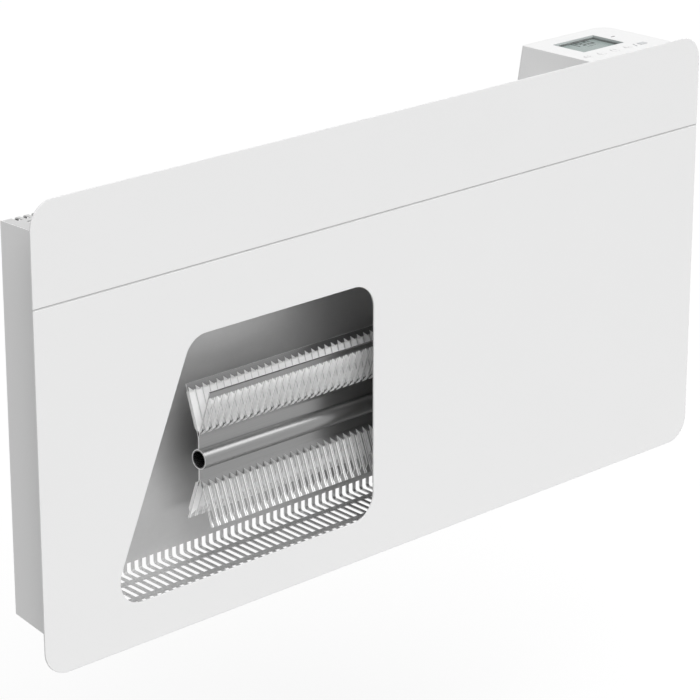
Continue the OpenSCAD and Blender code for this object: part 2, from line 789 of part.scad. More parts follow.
// A plate on a fin, between two faces whose points are [along X, up the fin, out of the fin]
module fin_plate(vertex, tip, low, high, facets) {
    d = unit(tip - vertex);
    out = [-abs(d[1]), sign(d[1]) * d[0]];
    n = len(low);
    faces = concat(facets, [for (f = facets) [for (i = reversed(f)) i + n]],
        [for (i = [0:n - 1]) [i, i + n, (i + 1) % n + n, (i + 1) % n]]);
    polyhedron([for (p = concat(low, high)) concat([p[0]], vertex + p[1] * d + p[2] * out)],
        d[1] > 0 ? faces : [for (f = faces) reversed(f)]);
}

// A louvre's opening: its left edge is cut, and its other three are folds
module louvre_cut(vertex, tip, tip_gap) {
    s0 = louvre_gap_vertex;
    s1 = norm(tip - vertex) - tip_gap;
    plan = [[0, s0 + louvre_root], [louvre_w - louvre_root, s0 + louvre_fold],
        [louvre_w - louvre_root, s1 - louvre_fold], [0, s1 - louvre_root]];
    fin_plate(vertex, tip, lifted(plan, -fin_t), lifted(plan, fin_t), [[0, 1, 2, 3]]);
}

// The louvre itself: a slat that rises to its left, with a folded triangle at each end
module louvre(vertex, tip, tip_gap) {
    s0 = louvre_gap_vertex;
    s1 = norm(tip - vertex) - tip_gap;
    skip = louvre_fold * louvre_kerf / louvre_w;
    lip = louvre_rise * (1 - louvre_kerf / louvre_w);
    half_t = (fin_t - louvre_root) / 2;
    middle = [[louvre_kerf, s0 + skip, 0], [louvre_w, s0 + louvre_fold, 0],
        [louvre_w, s1 - louvre_fold, 0], [louvre_kerf, s1 - skip, 0],
        [louvre_kerf, s1 - louvre_fold, lip], [louvre_kerf, s0 + louvre_fold, lip]];
    fin_plate(vertex, tip, lifted(middle, -half_t), lifted(middle, half_t),
        [[0, 1, 5], [5, 1, 2, 4], [4, 2, 3]]);
}

module half_element(top_gap) translate([0, element_y, element_z]) {
    difference() {
        translate([element_x0, 0, 0]) along_x(element_len) half_section();
        for (i = [0:louvre_count - 1]) translate([louvre_x0 + i * louvre_pitch, 0, 0]) {
            louvre_cut(upper_vertex, upper_tip, top_gap);
            louvre_cut(lower_vertex, lower_tip, louvre_gap_edge);
        }
    }
    for (i = [0:louvre_count - 1]) translate([louvre_x0 + i * louvre_pitch, 0, 0]) {
        louvre(upper_vertex, upper_tip, top_gap);
        louvre(lower_vertex, lower_tip, louvre_gap_edge);
    }
}

module element_front_sheet() color("silver") half_element(louvre_gap_brow);
module element_rear_sheet() color("silver")
    translate([0, 2 * element_y, 0]) mirror([0, 1, 0]) half_element(louvre_gap_edge);

module rod_sheath() color("darkgray") translate([element_x0, element_y, element_z]) difference() {
    bar_x(rod_r, rod_x1 - element_x0);
    translate([-over, 0, 0]) bar_x(rod_r - rod_wall, rod_x1 - element_x0 + 2 * over);
}

module rod_core() color("black") translate([element_x0 + rod_recess, element_y, element_z])
    bar_x(rod_r - rod_wall - run_fit, rod_x1 - seal_len - element_x0 - rod_recess);

module rod_seal() color("linen") translate([rod_x1 - seal_len, element_y, element_z]) difference() {
    union() {
        bar_x(rod_r - rod_wall - run_fit, seal_len);
        translate([seal_len, 0, 0]) bar_x(rod_r, sheet_t);
    }
    for (s = [-1, 1]) translate([-over, -terminal_w / 2, s * terminal_gap - terminal_t / 2])
        cube([seal_len + sheet_t + 2 * over, terminal_w, terminal_t]);
}

module rod_terminals() color("gold") for (s = [-1, 1])
    translate([rod_x1 - seal_len, element_y - terminal_w / 2 + run_fit,
        element_z + s * terminal_gap - terminal_t / 2 + run_fit])
        cube([seal_len + sheet_t + terminal_len, terminal_w - 2 * run_fit,
            terminal_t - 2 * run_fit]);

// A saddle behind the tube, on an arm from the back wall
module element_bracket(x) difference() {
    translate([x - saddle_w / 2, element_y, element_z]) {
        along_x(saddle_w) difference() {
            circle(saddle_in_r + saddle_t, $fn = 96);
            circle(saddle_in_r, $fn = 96);
            translate([-4 * tube_r, -2 * tube_r]) square([4 * tube_r + fin_t, 4 * tube_r]);
        }
        for (s = [-1, 1]) along_x(saddle_w)
            strip([[fin_t + saddle_t / 2, s * (tube_r + saddle_t / 2)],
                [fin_t + saddle_t / 2, s * (tube_r + tab_len)]], [], saddle_t);
        along_x(saddle_w) strip([[arm_y0, -arm_drop],
            [inner_y - element_y - saddle_t / 2, -arm_drop],
            [inner_y - element_y - saddle_t / 2, -arm_drop - foot_len]],
            [2 * saddle_t], saddle_t);
    }
    for (p = foot_rivets) translate([p[0], inner_y - saddle_t - over, p[1]])
        bar_y(rivet_hole_r, saddle_t + 2 * over);
}

module element_bracket_left() color("silver") element_bracket(-bracket_offset);
module element_bracket_right() color("silver") element_bracket(bracket_offset);

module cutout_bracket() color("silver") difference() {
    translate([cutout_x - shelf_w / 2, 0, 0]) along_x(shelf_w) strip([
        [inner_y - shelf_t / 2, cutout_z - shelf_foot],
        [inner_y - shelf_t / 2, cutout_z - shelf_t / 2],
        [inner_y - shelf_len, cutout_z - shelf_t / 2]], [2 * shelf_t], shelf_t);
    for (p = cutout_rivets) translate([p[0], inner_y - shelf_t - over, p[1]])
        bar_y(rivet_hole_r, shelf_t + 2 * over);
}

// The cut-out hangs under its shelf, with its blades down
module thermal_cutout() color("tan") translate([cutout_x, cutout_y, cutout_z - shelf_t]) {
    translate([0, 0, -shelf_t]) cylinder(r = cutout_flange_r, h = shelf_t);
    translate([0, 0, -cutout_h]) cylinder(r = cutout_r, h = cutout_h);
    for (s = [-1, 1])
        translate([s * cutout_r / 2 - blade_t / 2, -blade_w / 2, -cutout_h - blade_len])
            cube([blade_t, blade_w, blade_len + over]);
}

module room_sensor() color("ivory")
    translate([sensor_x, sensor_y, floor_top(sensor_y)]) rotate([floor_slope, 0, 0]) {
        translate([-sensor_base / 2, -sensor_base / 2, 0]) cube([sensor_base, sensor_base, sheet_t]);
        cylinder(r = sensor_stem_r, h = sensor_h);
        translate([0, 0, sensor_h]) sphere(sensor_bead_r);
    }

// The control box: two leaning extrusions, so that its left and right sides spread to the foot
module leaning_side(side, inset, z_low, z_top) {
    x_near = side > 0 ? foot_x1 - inset : foot_x0 + inset;
    x_far = side > 0 ? foot_x0 - control_w : foot_x1 + control_w;
    rear_r = side > 0 ? control_r : control_edge_r;
    translate([0, 0, control_z0])
        multmatrix([[1, 0, -side * control_flare / control_h, 0], [0, 1, 0, 0], [0, 0, 1, 0],
            [0, 0, 0, 1]])
        translate([0, 0, z_low - control_z0]) linear_extrude(z_top - z_low)
            polygon(rounded([[x_far, control_y0 + inset], [x_far, control_y1 - inset],
                [x_near, control_y1 - inset], [x_near, control_y0 + inset]],
                [control_edge_r - inset, control_edge_r - inset, rear_r - inset,
                    control_edge_r - inset]));
}

module control_block(inset, z_low, z_top) intersection() {
    leaning_side(1, inset, z_low, z_top);
    leaning_side(-1, inset, z_low, z_top);
}

module control_housing() color("white") difference() {
    union() {
        difference() {
            control_block(0, control_z0, control_z1);
            control_block(control_wall, control_z0 - over, control_inner_z);
        }
        translate([lcd_x0 - lens_ledge - frame_rim, lcd_y0 - lens_ledge - frame_rim,
            lens_z - frame_skirt])
            cube([lcd_w + 2 * (lens_ledge + frame_rim), lcd_d + 2 * (lens_ledge + frame_rim),
                control_z1 - control_wall / 2 - lens_z + frame_skirt]);
        for (p = post_places) translate([p[0], p[1], board_top])
            cylinder(r = post_r, h = control_inner_z + control_wall / 2 - board_top);
    }
    translate([lcd_x0, lcd_y0, board_bottom]) cube([lcd_w, lcd_d, control_h]);
    translate([lcd_x0 - lens_ledge, lcd_y0 - lens_ledge, lens_z - frame_skirt - over])
        cube([lcd_w + 2 * lens_ledge, lcd_d + 2 * lens_ledge,
            control_z1 - lcd_recess - lens_z + frame_skirt + over]);
    for (i = [0:button_count - 1])
        translate([button_places[i], button_y, control_inner_z - over])
            cylinder(r = button_r + clear, h = control_wall + 2 * over);
    translate([ok_x - ok_w / 2 - clear, button_y - ok_d / 2 - clear, control_inner_z - over])
        cube([ok_w + 2 * clear, ok_d + 2 * clear, control_wall + 2 * over]);
    indicator_slot(indicator_w + 2 * snug, indicator_d + 2 * snug, control_inner_z - over,
        control_wall + 2 * over);
    for (p = post_places) translate([p[0], p[1], board_top - over])
        cylinder(r = post_hole_r, h = post_hole_depth + over);
}

// An oblong bar where the indicator shines through the top
module indicator_slot(w, d, z, height)
    translate([ok_x - w / 2, front_y + indicator_front - d / 2, z]) linear_extrude(height) {
        translate([d / 2, 0]) square([w - d, d]);
        for (x = [d / 2, w - d / 2]) translate([x, d / 2]) circle(d = d);
    }

module indicator_lens() color("dimgray") indicator_slot(indicator_w, indicator_d,
    board_top, control_z1 - board_top);

module control_base() color("white") difference() {
    union() {
        control_block(control_wall + snug, control_z0, base_top);
        translate([leg_x0, leg_y0, leg_z0]) cube([leg_w, leg_y1 - leg_y0, leg_drop + base_t]);
    }
    translate([leg_x0 + leg_wall, leg_y0 + leg_wall, leg_z0 + leg_wall])
        cube([leg_w - 2 * leg_wall, leg_y1 - leg_y0 - 2 * leg_wall, leg_drop + base_t]);
    translate([lead_hole_x, lead_hole_y, control_z0 - over])
        cube([lead_hole_w, lead_hole_d, base_t + 2 * over]);
    translate([gland_x, gland_y, leg_z0 - over]) cylinder(r = gland_hole_r, h = leg_wall + 2 * over);
    for (p = pillar_places) translate([p[0], p[1], control_z0 - over])
        cylinder(r = board_screw_hole_r, h = base_t + 2 * over);
}

module lcd_window() color([0.85, 0.9, 0.88, 0.4])
    translate([lcd_x0 - lens_ledge + snug, lcd_y0 - lens_ledge + snug, lens_z])
        cube([lcd_w + 2 * (lens_ledge - snug), lcd_d + 2 * (lens_ledge - snug), lens_t]);

module lcd_module() color("darkseagreen")
    translate([lcd_x0 + module_inset, lcd_y0 + module_inset, board_top])
        cube([lcd_w - 2 * module_inset, lcd_d - 2 * module_inset, module_t]);

module display_board() color("darkgreen") difference() {
    translate([display_x0, display_y0, board_bottom]) linear_extrude(board_t) polygon([
        [0, 0], [0, display_d], [display_w - display_notch, display_d],
        [display_w, display_d - display_notch], [display_w, 0]]);
    for (p = post_places) translate([p[0], p[1], board_bottom - over])
        cylinder(r = board_screw_hole_r, h = board_t + 2 * over);
}

// Screws into the display posts from below, and into both ends of the board pillars
module control_screws() color("silver") {
    for (p = post_places) translate([p[0], p[1], board_bottom]) {
        translate([0, 0, -board_screw_head_h]) cylinder(r = board_screw_head_r, h = board_screw_head_h);
        cylinder(r = board_screw_r, h = board_screw_len);
    }
    for (p = pillar_places) {
        translate([p[0], p[1], power_top]) cylinder(r = board_screw_head_r, h = board_screw_head_h);
        translate([p[0], p[1], power_z - pillar_bite])
            cylinder(r = board_screw_r, h = pillar_bite + board_t + run_fit);
        translate([p[0], p[1], control_z0 - sheet_t - board_screw_head_h])
            cylinder(r = board_screw_head_r, h = board_screw_head_h);
        translate([p[0], p[1], control_z0 - sheet_t - run_fit])
            cylinder(r = board_screw_r, h = sheet_t + base_t + pillar_bite + run_fit);
    }
}

module tact_switches() color("dimgray") for (x = button_places)
    translate([x, button_y, board_top]) {
        translate([-switch_size / 2, -switch_size / 2, 0])
            cube([switch_size, switch_size, switch_body_h]);
        cylinder(r = plunger_r, h = switch_body_h + plunger_h);
    }

// A round button: cap, retaining flange and stem, with a symbol cut in its top
module round_button(x) translate([x, button_y, 0]) difference() {
    union() {
        translate([0, 0, button_flange_top - over])
            cylinder(r = button_r, h = control_z1 + button_proud - button_flange_top + over);
        translate([0, 0, button_flange_top - button_flange_t])
            cylinder(r = button_r + button_flange, h = button_flange_t);
        translate([0, 0, stem_z]) cylinder(r = stem_r, h = stem_len + button_flange_t);
    }
    translate([0, 0, control_z1 + button_proud - symbol_depth]) children();
}

module button_power() color("white") round_button(button_places[0]) {
    linear_extrude(over) {
        difference() {
            circle(symbol_size / 2);
            circle(symbol_size / 2 - symbol_w);
            translate([-symbol_w, 0]) square([2 * symbol_w, symbol_size]);
        }
        translate([-symbol_w / 2, 0]) square([symbol_w, symbol_size / 2]);
    }
}

module button_minus() color("white") round_button(button_places[1])
    linear_extrude(over) translate([-symbol_size / 2, -symbol_w / 2]) square([symbol_size, symbol_w]);

module button_plus() color("white") round_button(button_places[2])
    linear_extrude(over) {
        translate([-symbol_size / 2, -symbol_w / 2]) square([symbol_size, symbol_w]);
        translate([-symbol_w / 2, -symbol_size / 2]) square([symbol_w, symbol_size]);
    }

module button_menu() color("white") round_button(button_places[3])
    linear_extrude(over) for (i = [-1, 0, 1])
        translate([-symbol_size / 2, 2 * i * symbol_w - symbol_w / 2]) square([symbol_size, symbol_w]);

module button_ok() color("lightgray") translate([ok_x, button_y, 0]) {
    translate([-ok_w / 2, -ok_d / 2, button_flange_top - over])
        cube([ok_w, ok_d, control_z1 + button_proud - button_flange_top + over]);
    translate([-ok_w / 2 - button_flange, -ok_d / 2 - button_flange,
        button_flange_top - button_flange_t])
        cube([ok_w + 2 * button_flange, ok_d + 2 * button_flange, button_flange_t]);
    translate([0, 0, stem_z]) cylinder(r = stem_r, h = stem_len + button_flange_t);
}

module board_pillars() color("ivory") for (p = pillar_places)
    translate([p[0], p[1], base_top]) difference() {
        cylinder(r = pillar_r, h = pillar_h);
        translate([0, 0, -over]) cylinder(r = post_hole_r, h = pillar_h + 2 * over);
    }

module power_board() color("darkgreen") difference() {
    translate([power_x0, power_y0, power_z]) cube([power_w, power_d, board_t]);
    for (p = pillar_places) translate([p[0], p[1], power_z - over])
        cylinder(r = board_screw_hole_r, h = board_t + 2 * over);
}

module board_header() color("black") translate([header_at[0], header_at[1], power_top])
    cube([header_size[0], header_size[1], board_bottom - power_top]);

module relay() color("black") translate([relay_at[0], relay_at[1], power_top]) cube(relay_size);

module transformer() color("darkorange")
    translate([transformer_at[0], transformer_at[1], power_top]) {
        cube([transformer_size[0], transformer_size[1], transformer_size[2] / 4]);
        translate([component_gap, 0, 0])
            cube([transformer_size[0] - 2 * component_gap, transformer_size[1], transformer_size[2]]);
    }

module terminal_block() color("seagreen") translate([block_at[0], block_at[1], power_top])
    difference() {
        cube(block_size);
        for (i = [0:pole_count - 1])
            translate([block_size[0] * (i + 1 / 2) / pole_count, block_size[1] / 2, 0]) {
                translate([0, 0, block_size[2] / 2])
                    cylinder(r = board_screw_head_r, h = block_size[2]);
                translate([0, 0, block_size[2] / 4]) bar_y(lead_r + clear, block_size[1]);
            }
    }

module earth_stud() color("gold") translate([earth_x, back_y, earth_z]) {
    translate([0, -earth_len, 0]) bar_y(stud_r, earth_len);
    bar_y(washer_r, washer_t);
    translate([0, -sheet_t - washer_t, 0]) bar_y(washer_r, washer_t);
    translate([-tag_w / 2, -sheet_t - washer_t - tag_t, 0]) cube([tag_w, tag_t, tag_len]);
    translate([0, -sheet_t - washer_t - tag_t - nut_h, 0]) rotate([-90, 0, 0])
        cylinder(d = nut_flats / cos(30), h = nut_h, $fn = 6);
}

module cable_gland() color("black") translate([gland_x, gland_y, leg_z0]) difference() {
    union() {
        translate([0, 0, -gland_flange_h])
            cylinder(d = gland_flats / cos(30), h = gland_flange_h, $fn = 6);
        translate([0, 0, -gland_flange_h - gland_body_len])
            cylinder(r = gland_thread_r, h = gland_len);
        translate([0, 0, leg_wall])
            cylinder(d = (gland_flats - leg_wall) / cos(30), h = nut_h, $fn = 6);
    }
    translate([0, 0, -gland_flange_h - gland_body_len - over])
        cylinder(r = gland_bore_r, h = gland_len + 2 * over);
}

module gland_nut() color("black")
    translate([gland_x, gland_y, leg_z0 - gland_flange_h - clear]) difference() {
        union() {
            translate([0, 0, -gland_body_len]) cylinder(r = gland_cap_r, h = gland_body_len);
            translate([0, 0, -gland_cap_len])
                cylinder(r1 = gland_nose_r, r2 = gland_cap_r, h = gland_nose_h);
        }
        translate([0, 0, -gland_cap_len - over]) cylinder(r = cord_bore_r, h = gland_cap_len + 2 * over);
        translate([0, 0, -gland_body_len]) cylinder(r = gland_thread_r + run_fit, h = gland_body_len + over);
    }

module lead_grommet() color("black") translate([partition_x, grommet_y, grommet_z]) difference() {
    union() {
        translate([-grommet_lip_t, 0, 0]) bar_x(grommet_r, grommet_lip_t);
        translate([sheet_t, 0, 0]) bar_x(grommet_r, grommet_lip_t);
        bar_x(grommet_r - grommet_lip - run_fit, sheet_t);
    }
    translate([-grommet_lip_t - over, 0, 0]) bar_x(grommet_bore_r, sheet_t + 2 * (grommet_lip_t + over));
}

// Leads: terminal to cut-out, cut-out and terminal to the block, earth and room sensor
module internal_leads() color("firebrick") {
    lead(smooth_path([
        [terminal_x, element_y, element_z + terminal_gap],
        [terminal_x + lead_sweep / 3, element_y - 2 * lead_r, element_z + 2 * terminal_gap],
        [terminal_x + lead_sweep / 4, element_y, (element_z + blade_z) / 2],
        [cutout_x + cutout_r / 2, cutout_y, blade_z - lead_sweep],
        [cutout_x + cutout_r / 2, cutout_y, blade_z]], lead_steps));
    lead(smooth_path(concat([
        [cutout_x - cutout_r / 2, cutout_y, blade_z],
        [cutout_x - cutout_r / 2, cutout_y, blade_z - lead_sweep],
        [terminal_x, cutout_y, element_z + lead_sweep],
        [grommet_mid_x, grommet_y, grommet_z + pair_gap],
        [grommet_mid_x + 2 * lead_sweep, (grommet_y + lead_rise_y) / 2, grommet_z + 2 * lead_sweep]],
        rise_points(block_mouths[0])), lead_steps));
    lead(smooth_path(concat([
        [terminal_x, element_y, element_z - terminal_gap],
        [terminal_x + lead_sweep / 3, element_y, element_z - terminal_gap],
        [grommet_mid_x, grommet_y, grommet_z - pair_gap],
        [grommet_mid_x + 3 * lead_sweep, (grommet_y + lead_rise_y) / 2, grommet_z + lead_sweep]],
        rise_points(block_mouths[1])), lead_steps));
    lead(smooth_path(concat([
        [earth_x, inner_y - washer_t - tag_t / 2, earth_z + tag_len],
        [earth_x, inner_y - washer_t - tag_t / 2 - lead_r, earth_z + tag_len + lead_sweep]],
        rise_points(block_mouths[2])), lead_steps));
    lead(smooth_path([
        [sensor_x, sensor_y + sensor_stem_r, floor_top(sensor_y) + sensor_h / 2],
        [sensor_x, sensor_y + lead_sweep, floor_top(sensor_y) + lead_sweep],
        [sensor_x, lead_rise_y, 0],
        [sensor_lead_x, lead_rise_y, casing_z1 - lead_bend / 2],
        [sensor_lead_x, lead_rise_y, base_top],
        [sensor_lead_x, power_y0 + power_d, power_z + board_t / 2]],
        lead_steps));
}

// One sheet: two uprights joined by a bar, with side flanges, hooks and latch ears
module wall_bracket() color("gray") difference() {
    union() {
        for (m = [0, 1]) mirror([m, 0, 0]) {
            translate([upright_x - upright_w / 2, 0, upright_z0])
                along_y(bracket_t) square([upright_w, upright_z1 - upright_z0]);
            for (s = [-1, 1])
                translate([upright_x + s * (flange_in + bracket_t / 2) - bracket_t / 2, 0, 0])
                    along_x(bracket_t) flange_section();
        }
        translate([-upright_x, 0, -bar_h / 2]) along_y(bracket_t) square([2 * upright_x, bar_h]);
    }
    for (x = [-1, 1], z = [-1, 1])
        translate([x * fix_spacing_x / 2, -bracket_t - over, z * fix_spacing_z / 2])
            bar_y(fix_hole_r, bracket_t + 2 * over);
    for (m = [0, 1]) mirror([m, 0, 0]) translate([upright_x + flange_in - over, pivot_y, pivot_z])
        bar_x(pivot_r + run_fit, bracket_t + 2 * over);
}

// The flange's side view: a stand-off edge, with a hook at its foot
module flange_section() polygon([
    [0, upright_z0], [stand_y, upright_z0],
    [stand_y, hook_z], [inner_y - hook_tip - 2 * clear, hook_z],
    [inner_y - hook_tip - 2 * clear, hook_z + hook_h + hook_rise],
    [inner_y - 2 * clear, hook_z + hook_h + hook_rise],
    [inner_y - 2 * clear, hook_z + hook_h],
    [stand_y, hook_z + hook_h],
    [stand_y, upright_z1 - 2 * bracket_t], [stand_y + 2 * bracket_t, upright_z1],
    [0, upright_z1]]);

// A latch: a lever on its pivot, with a nose through the casing's back and a finger tab above
module latch() translate([upright_x + flange_in - clear - latch_t, 0, 0]) difference() {
    union() {
        along_x(latch_t) polygon([
            [pivot_y + latch_half, pivot_z], [pivot_y - latch_half, pivot_z],
            [pivot_y - latch_half, latch_nose_z], [inner_y - latch_reach, latch_nose_z],
            [inner_y - latch_reach, latch_nose_z + latch_nose_h / 2],
            [inner_y, latch_nose_z + latch_nose_h],
            [pivot_y - latch_half, latch_nose_z + latch_nose_h],
            [pivot_y - latch_half, latch_nose_z + latch_nose_h + latch_tab],
            [pivot_y + latch_half / 2, latch_nose_z + latch_nose_h + latch_tab],
            [pivot_y + latch_half, latch_nose_z + latch_nose_h]]);
        translate([0, pivot_y, pivot_z]) bar_x(latch_half + pivot_r / 2, latch_t);
    }
    translate([-over, pivot_y, pivot_z]) bar_x(pivot_r + run_fit, latch_t + 2 * over);
}

module latch_left() color("gold") mirror([1, 0, 0]) latch();
module latch_right() color("gold") latch();

module latch_pivots() color("silver") for (m = [0, 1]) mirror([m, 0, 0])
    translate([upright_x + flange_in, pivot_y, pivot_z]) {
        translate([-2 * clear - latch_t - pivot_head_t, 0, 0])
            bar_x(pivot_r, 2 * clear + latch_t + pivot_head_t + bracket_t);
        translate([-2 * clear - latch_t - pivot_head_t, 0, 0]) bar_x(pivot_head_r, pivot_head_t);
        translate([bracket_t, 0, 0]) bar_x(pivot_head_r, pivot_head_t);
    }

module wall_spacers() color("dimgray") for (m = [0, 1]) mirror([m, 0, 0])
    translate([stand_off_x, back_y, stand_off_z]) {
        bar_y(stand_off_r, wall_gap);
        translate([0, -stand_off_plug_len, 0]) bar_y(stand_off_plug_r, stand_off_plug_len + over);
    }

front_panel();
panel_spacers();
panel_nuts();
rear_casing();
left_side_cover();
right_side_cover();
partition_plate();
casing_screws();
sheet_rivets();
element_front_sheet();
element_rear_sheet();
rod_sheath();
rod_core();
rod_seal();
rod_terminals();
element_bracket_left();
element_bracket_right();
thermal_cutout();
cutout_bracket();
room_sensor();
control_housing();
control_base();
control_screws();
lcd_window();
lcd_module();
display_board();
tact_switches();
indicator_lens();
button_power();
button_minus();
button_plus();
button_menu();
button_ok();
power_board();
board_header();
relay();
transformer();
terminal_block();
board_pillars();
earth_stud();
cable_gland();
gland_nut();
internal_leads();
lead_grommet();
wall_bracket();
latch_left();
latch_right();
latch_pivots();
wall_spacers();
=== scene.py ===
"""Looks of a wall convector heater: finishes for its CAD pieces, printed marks, floor, light and camera.

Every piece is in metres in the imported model's frame: +X to the right, +Y into the wall, +Z up.
"""

import logging
import math
from dataclasses import dataclass
from enum import Enum
from typing import Any, Iterable, Mapping, Optional, Sequence, Union

import bmesh
import bpy
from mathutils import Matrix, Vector


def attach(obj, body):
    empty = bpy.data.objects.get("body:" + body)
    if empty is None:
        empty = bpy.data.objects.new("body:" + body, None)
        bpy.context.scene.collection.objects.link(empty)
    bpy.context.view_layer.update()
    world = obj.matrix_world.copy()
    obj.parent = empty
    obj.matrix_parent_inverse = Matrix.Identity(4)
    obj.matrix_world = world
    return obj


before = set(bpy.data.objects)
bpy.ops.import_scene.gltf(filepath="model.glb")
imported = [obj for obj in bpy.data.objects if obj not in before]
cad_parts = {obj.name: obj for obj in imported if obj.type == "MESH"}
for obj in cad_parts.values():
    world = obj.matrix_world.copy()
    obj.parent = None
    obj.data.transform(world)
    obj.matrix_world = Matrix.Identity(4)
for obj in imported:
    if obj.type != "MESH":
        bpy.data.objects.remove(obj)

LOG = logging.getLogger("convector_heater")
MM = 0.001
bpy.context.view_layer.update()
HEATER = "heater"
BAR_CORNER = 0.2
ARC_STEPS = 40

Colour = tuple[float, float, float]
Point2 = tuple[float, float]
Number = Union[int, float, "Value"]


# ---------------------------------------------------------------- shader expressions


class Value:
    """A number that varies over a surface. Python operators on it add Math nodes."""

    def __init__(self, graph: "Graph", socket: bpy.types.NodeSocket) -> None:
        """Wraps a socket of a node tree.

        Args:
            graph: The node tree that the socket is in.
            socket: The output socket that carries the number.
        """
        self.graph = graph
        self.socket = socket

    def _math(self, operation: str, *operands: Number, clamp: bool = False) -> "Value":
        """Adds a Math node.

        Args:
            operation: The Math node's operation.
            operands: Its inputs in order.
            clamp: Whether the result is held between 0 and 1.

        Returns:
            The node's result.
        """
        node = self.graph.node(
            "ShaderNodeMath", {"operation": operation, "use_clamp": clamp}, dict(enumerate(operands))
        )
        return Value(self.graph, node.outputs[0])

    def __add__(self, other: Number) -> "Value":
        """Returns self + other."""
        return self._math("ADD", self, other)

    def __radd__(self, other: Number) -> "Value":
        """Returns other + self."""
        return self._math("ADD", other, self)

    def __sub__(self, other: Number) -> "Value":
        """Returns self - other."""
        return self._math("SUBTRACT", self, other)

    def __rsub__(self, other: Number) -> "Value":
        """Returns other - self."""
        return self._math("SUBTRACT", other, self)

    def __mul__(self, other: Number) -> "Value":
        """Returns self * other."""
        return self._math("MULTIPLY", self, other)

    def __truediv__(self, other: Number) -> "Value":
        """Returns self / other."""
        return self._math("DIVIDE", self, other)

    def clamped(self) -> "Value":
        """Returns self held between 0 and 1."""
        return self._math("ADD", self, 0.0, clamp=True)

    def swing(self, size: float) -> "Value":
        """Returns how far self is above a half, times a size.

        Args:
            size: The size that a full unit counts for.
        """
        return (self - 0.5) * size

    def fraction(self) -> "Value":
        """Returns self less the whole number below it."""
        return self._math("FRACT", self)

    def distance(self, place: float) -> "Value":
        """Returns how far self lies from a place.

        Args:
            place: The place.
        """
        return self._math("ABSOLUTE", self - place)

    def step(self, low: float, high: float) -> "Value":
        """Returns a smooth step from 0 at low to 1 at high.

        Args:
            low: Where the step starts.
            high: Where the step ends.
        """
        node = self.graph.node(
            "ShaderNodeMapRange",
            {"interpolation_type": "SMOOTHSTEP"},
            {"Value": self, "From Min": low, "From Max": high},
        )
        return Value(self.graph, node.outputs["Result"])


class Tint:
    """A colour that varies over a surface."""

    def __init__(self, graph: "Graph", socket: bpy.types.NodeSocket) -> None:
        """Wraps a colour socket.

        Args:
            graph: The node tree that the socket is in.
            socket: The output socket that carries the colour.
        """
        self.graph = graph
        self.socket = socket


class Graph:
    """A node tree with one way of adding nodes to it."""

    def __init__(self, tree: bpy.types.NodeTree) -> None:
        """Empties a node tree.

        Args:
            tree: The tree of a material or of the world.
        """
        self.tree = tree
        self.tree.nodes.clear()

    def node(
        self, kind: str, settings: Mapping[str, Any], sockets: Mapping[Union[int, str], Any]
    ) -> bpy.types.ShaderNode:
        """Adds a node, sets it up and fills its sockets.

        Args:
            kind: The node's type name.
            settings: Attributes to set first.
            sockets: Values or links for its inputs, by index or name.

        Returns:
            The new node.
        """
        made = self.tree.nodes.new(kind)
        for key, setting in settings.items():
            setattr(made, key, setting)
        for key, given in sockets.items():
            self.feed(made.inputs[key], given)
        return made

    def feed(self, socket: bpy.types.NodeSocket, given: Any) -> None:
        """Links or sets one input.

        Args:
            socket: The input socket.
            given: A wrapped link, a raw socket, or a plain value.
        """
        if isinstance(given, (Value, Tint)):
            self.tree.links.new(given.socket, socket)
        elif isinstance(given, bpy.types.NodeSocket):
            self.tree.links.new(given, socket)
        elif socket.type == "RGBA" and len(given) == 3:
            socket.default_value = (*given, 1.0)
        else:
            socket.default_value = given


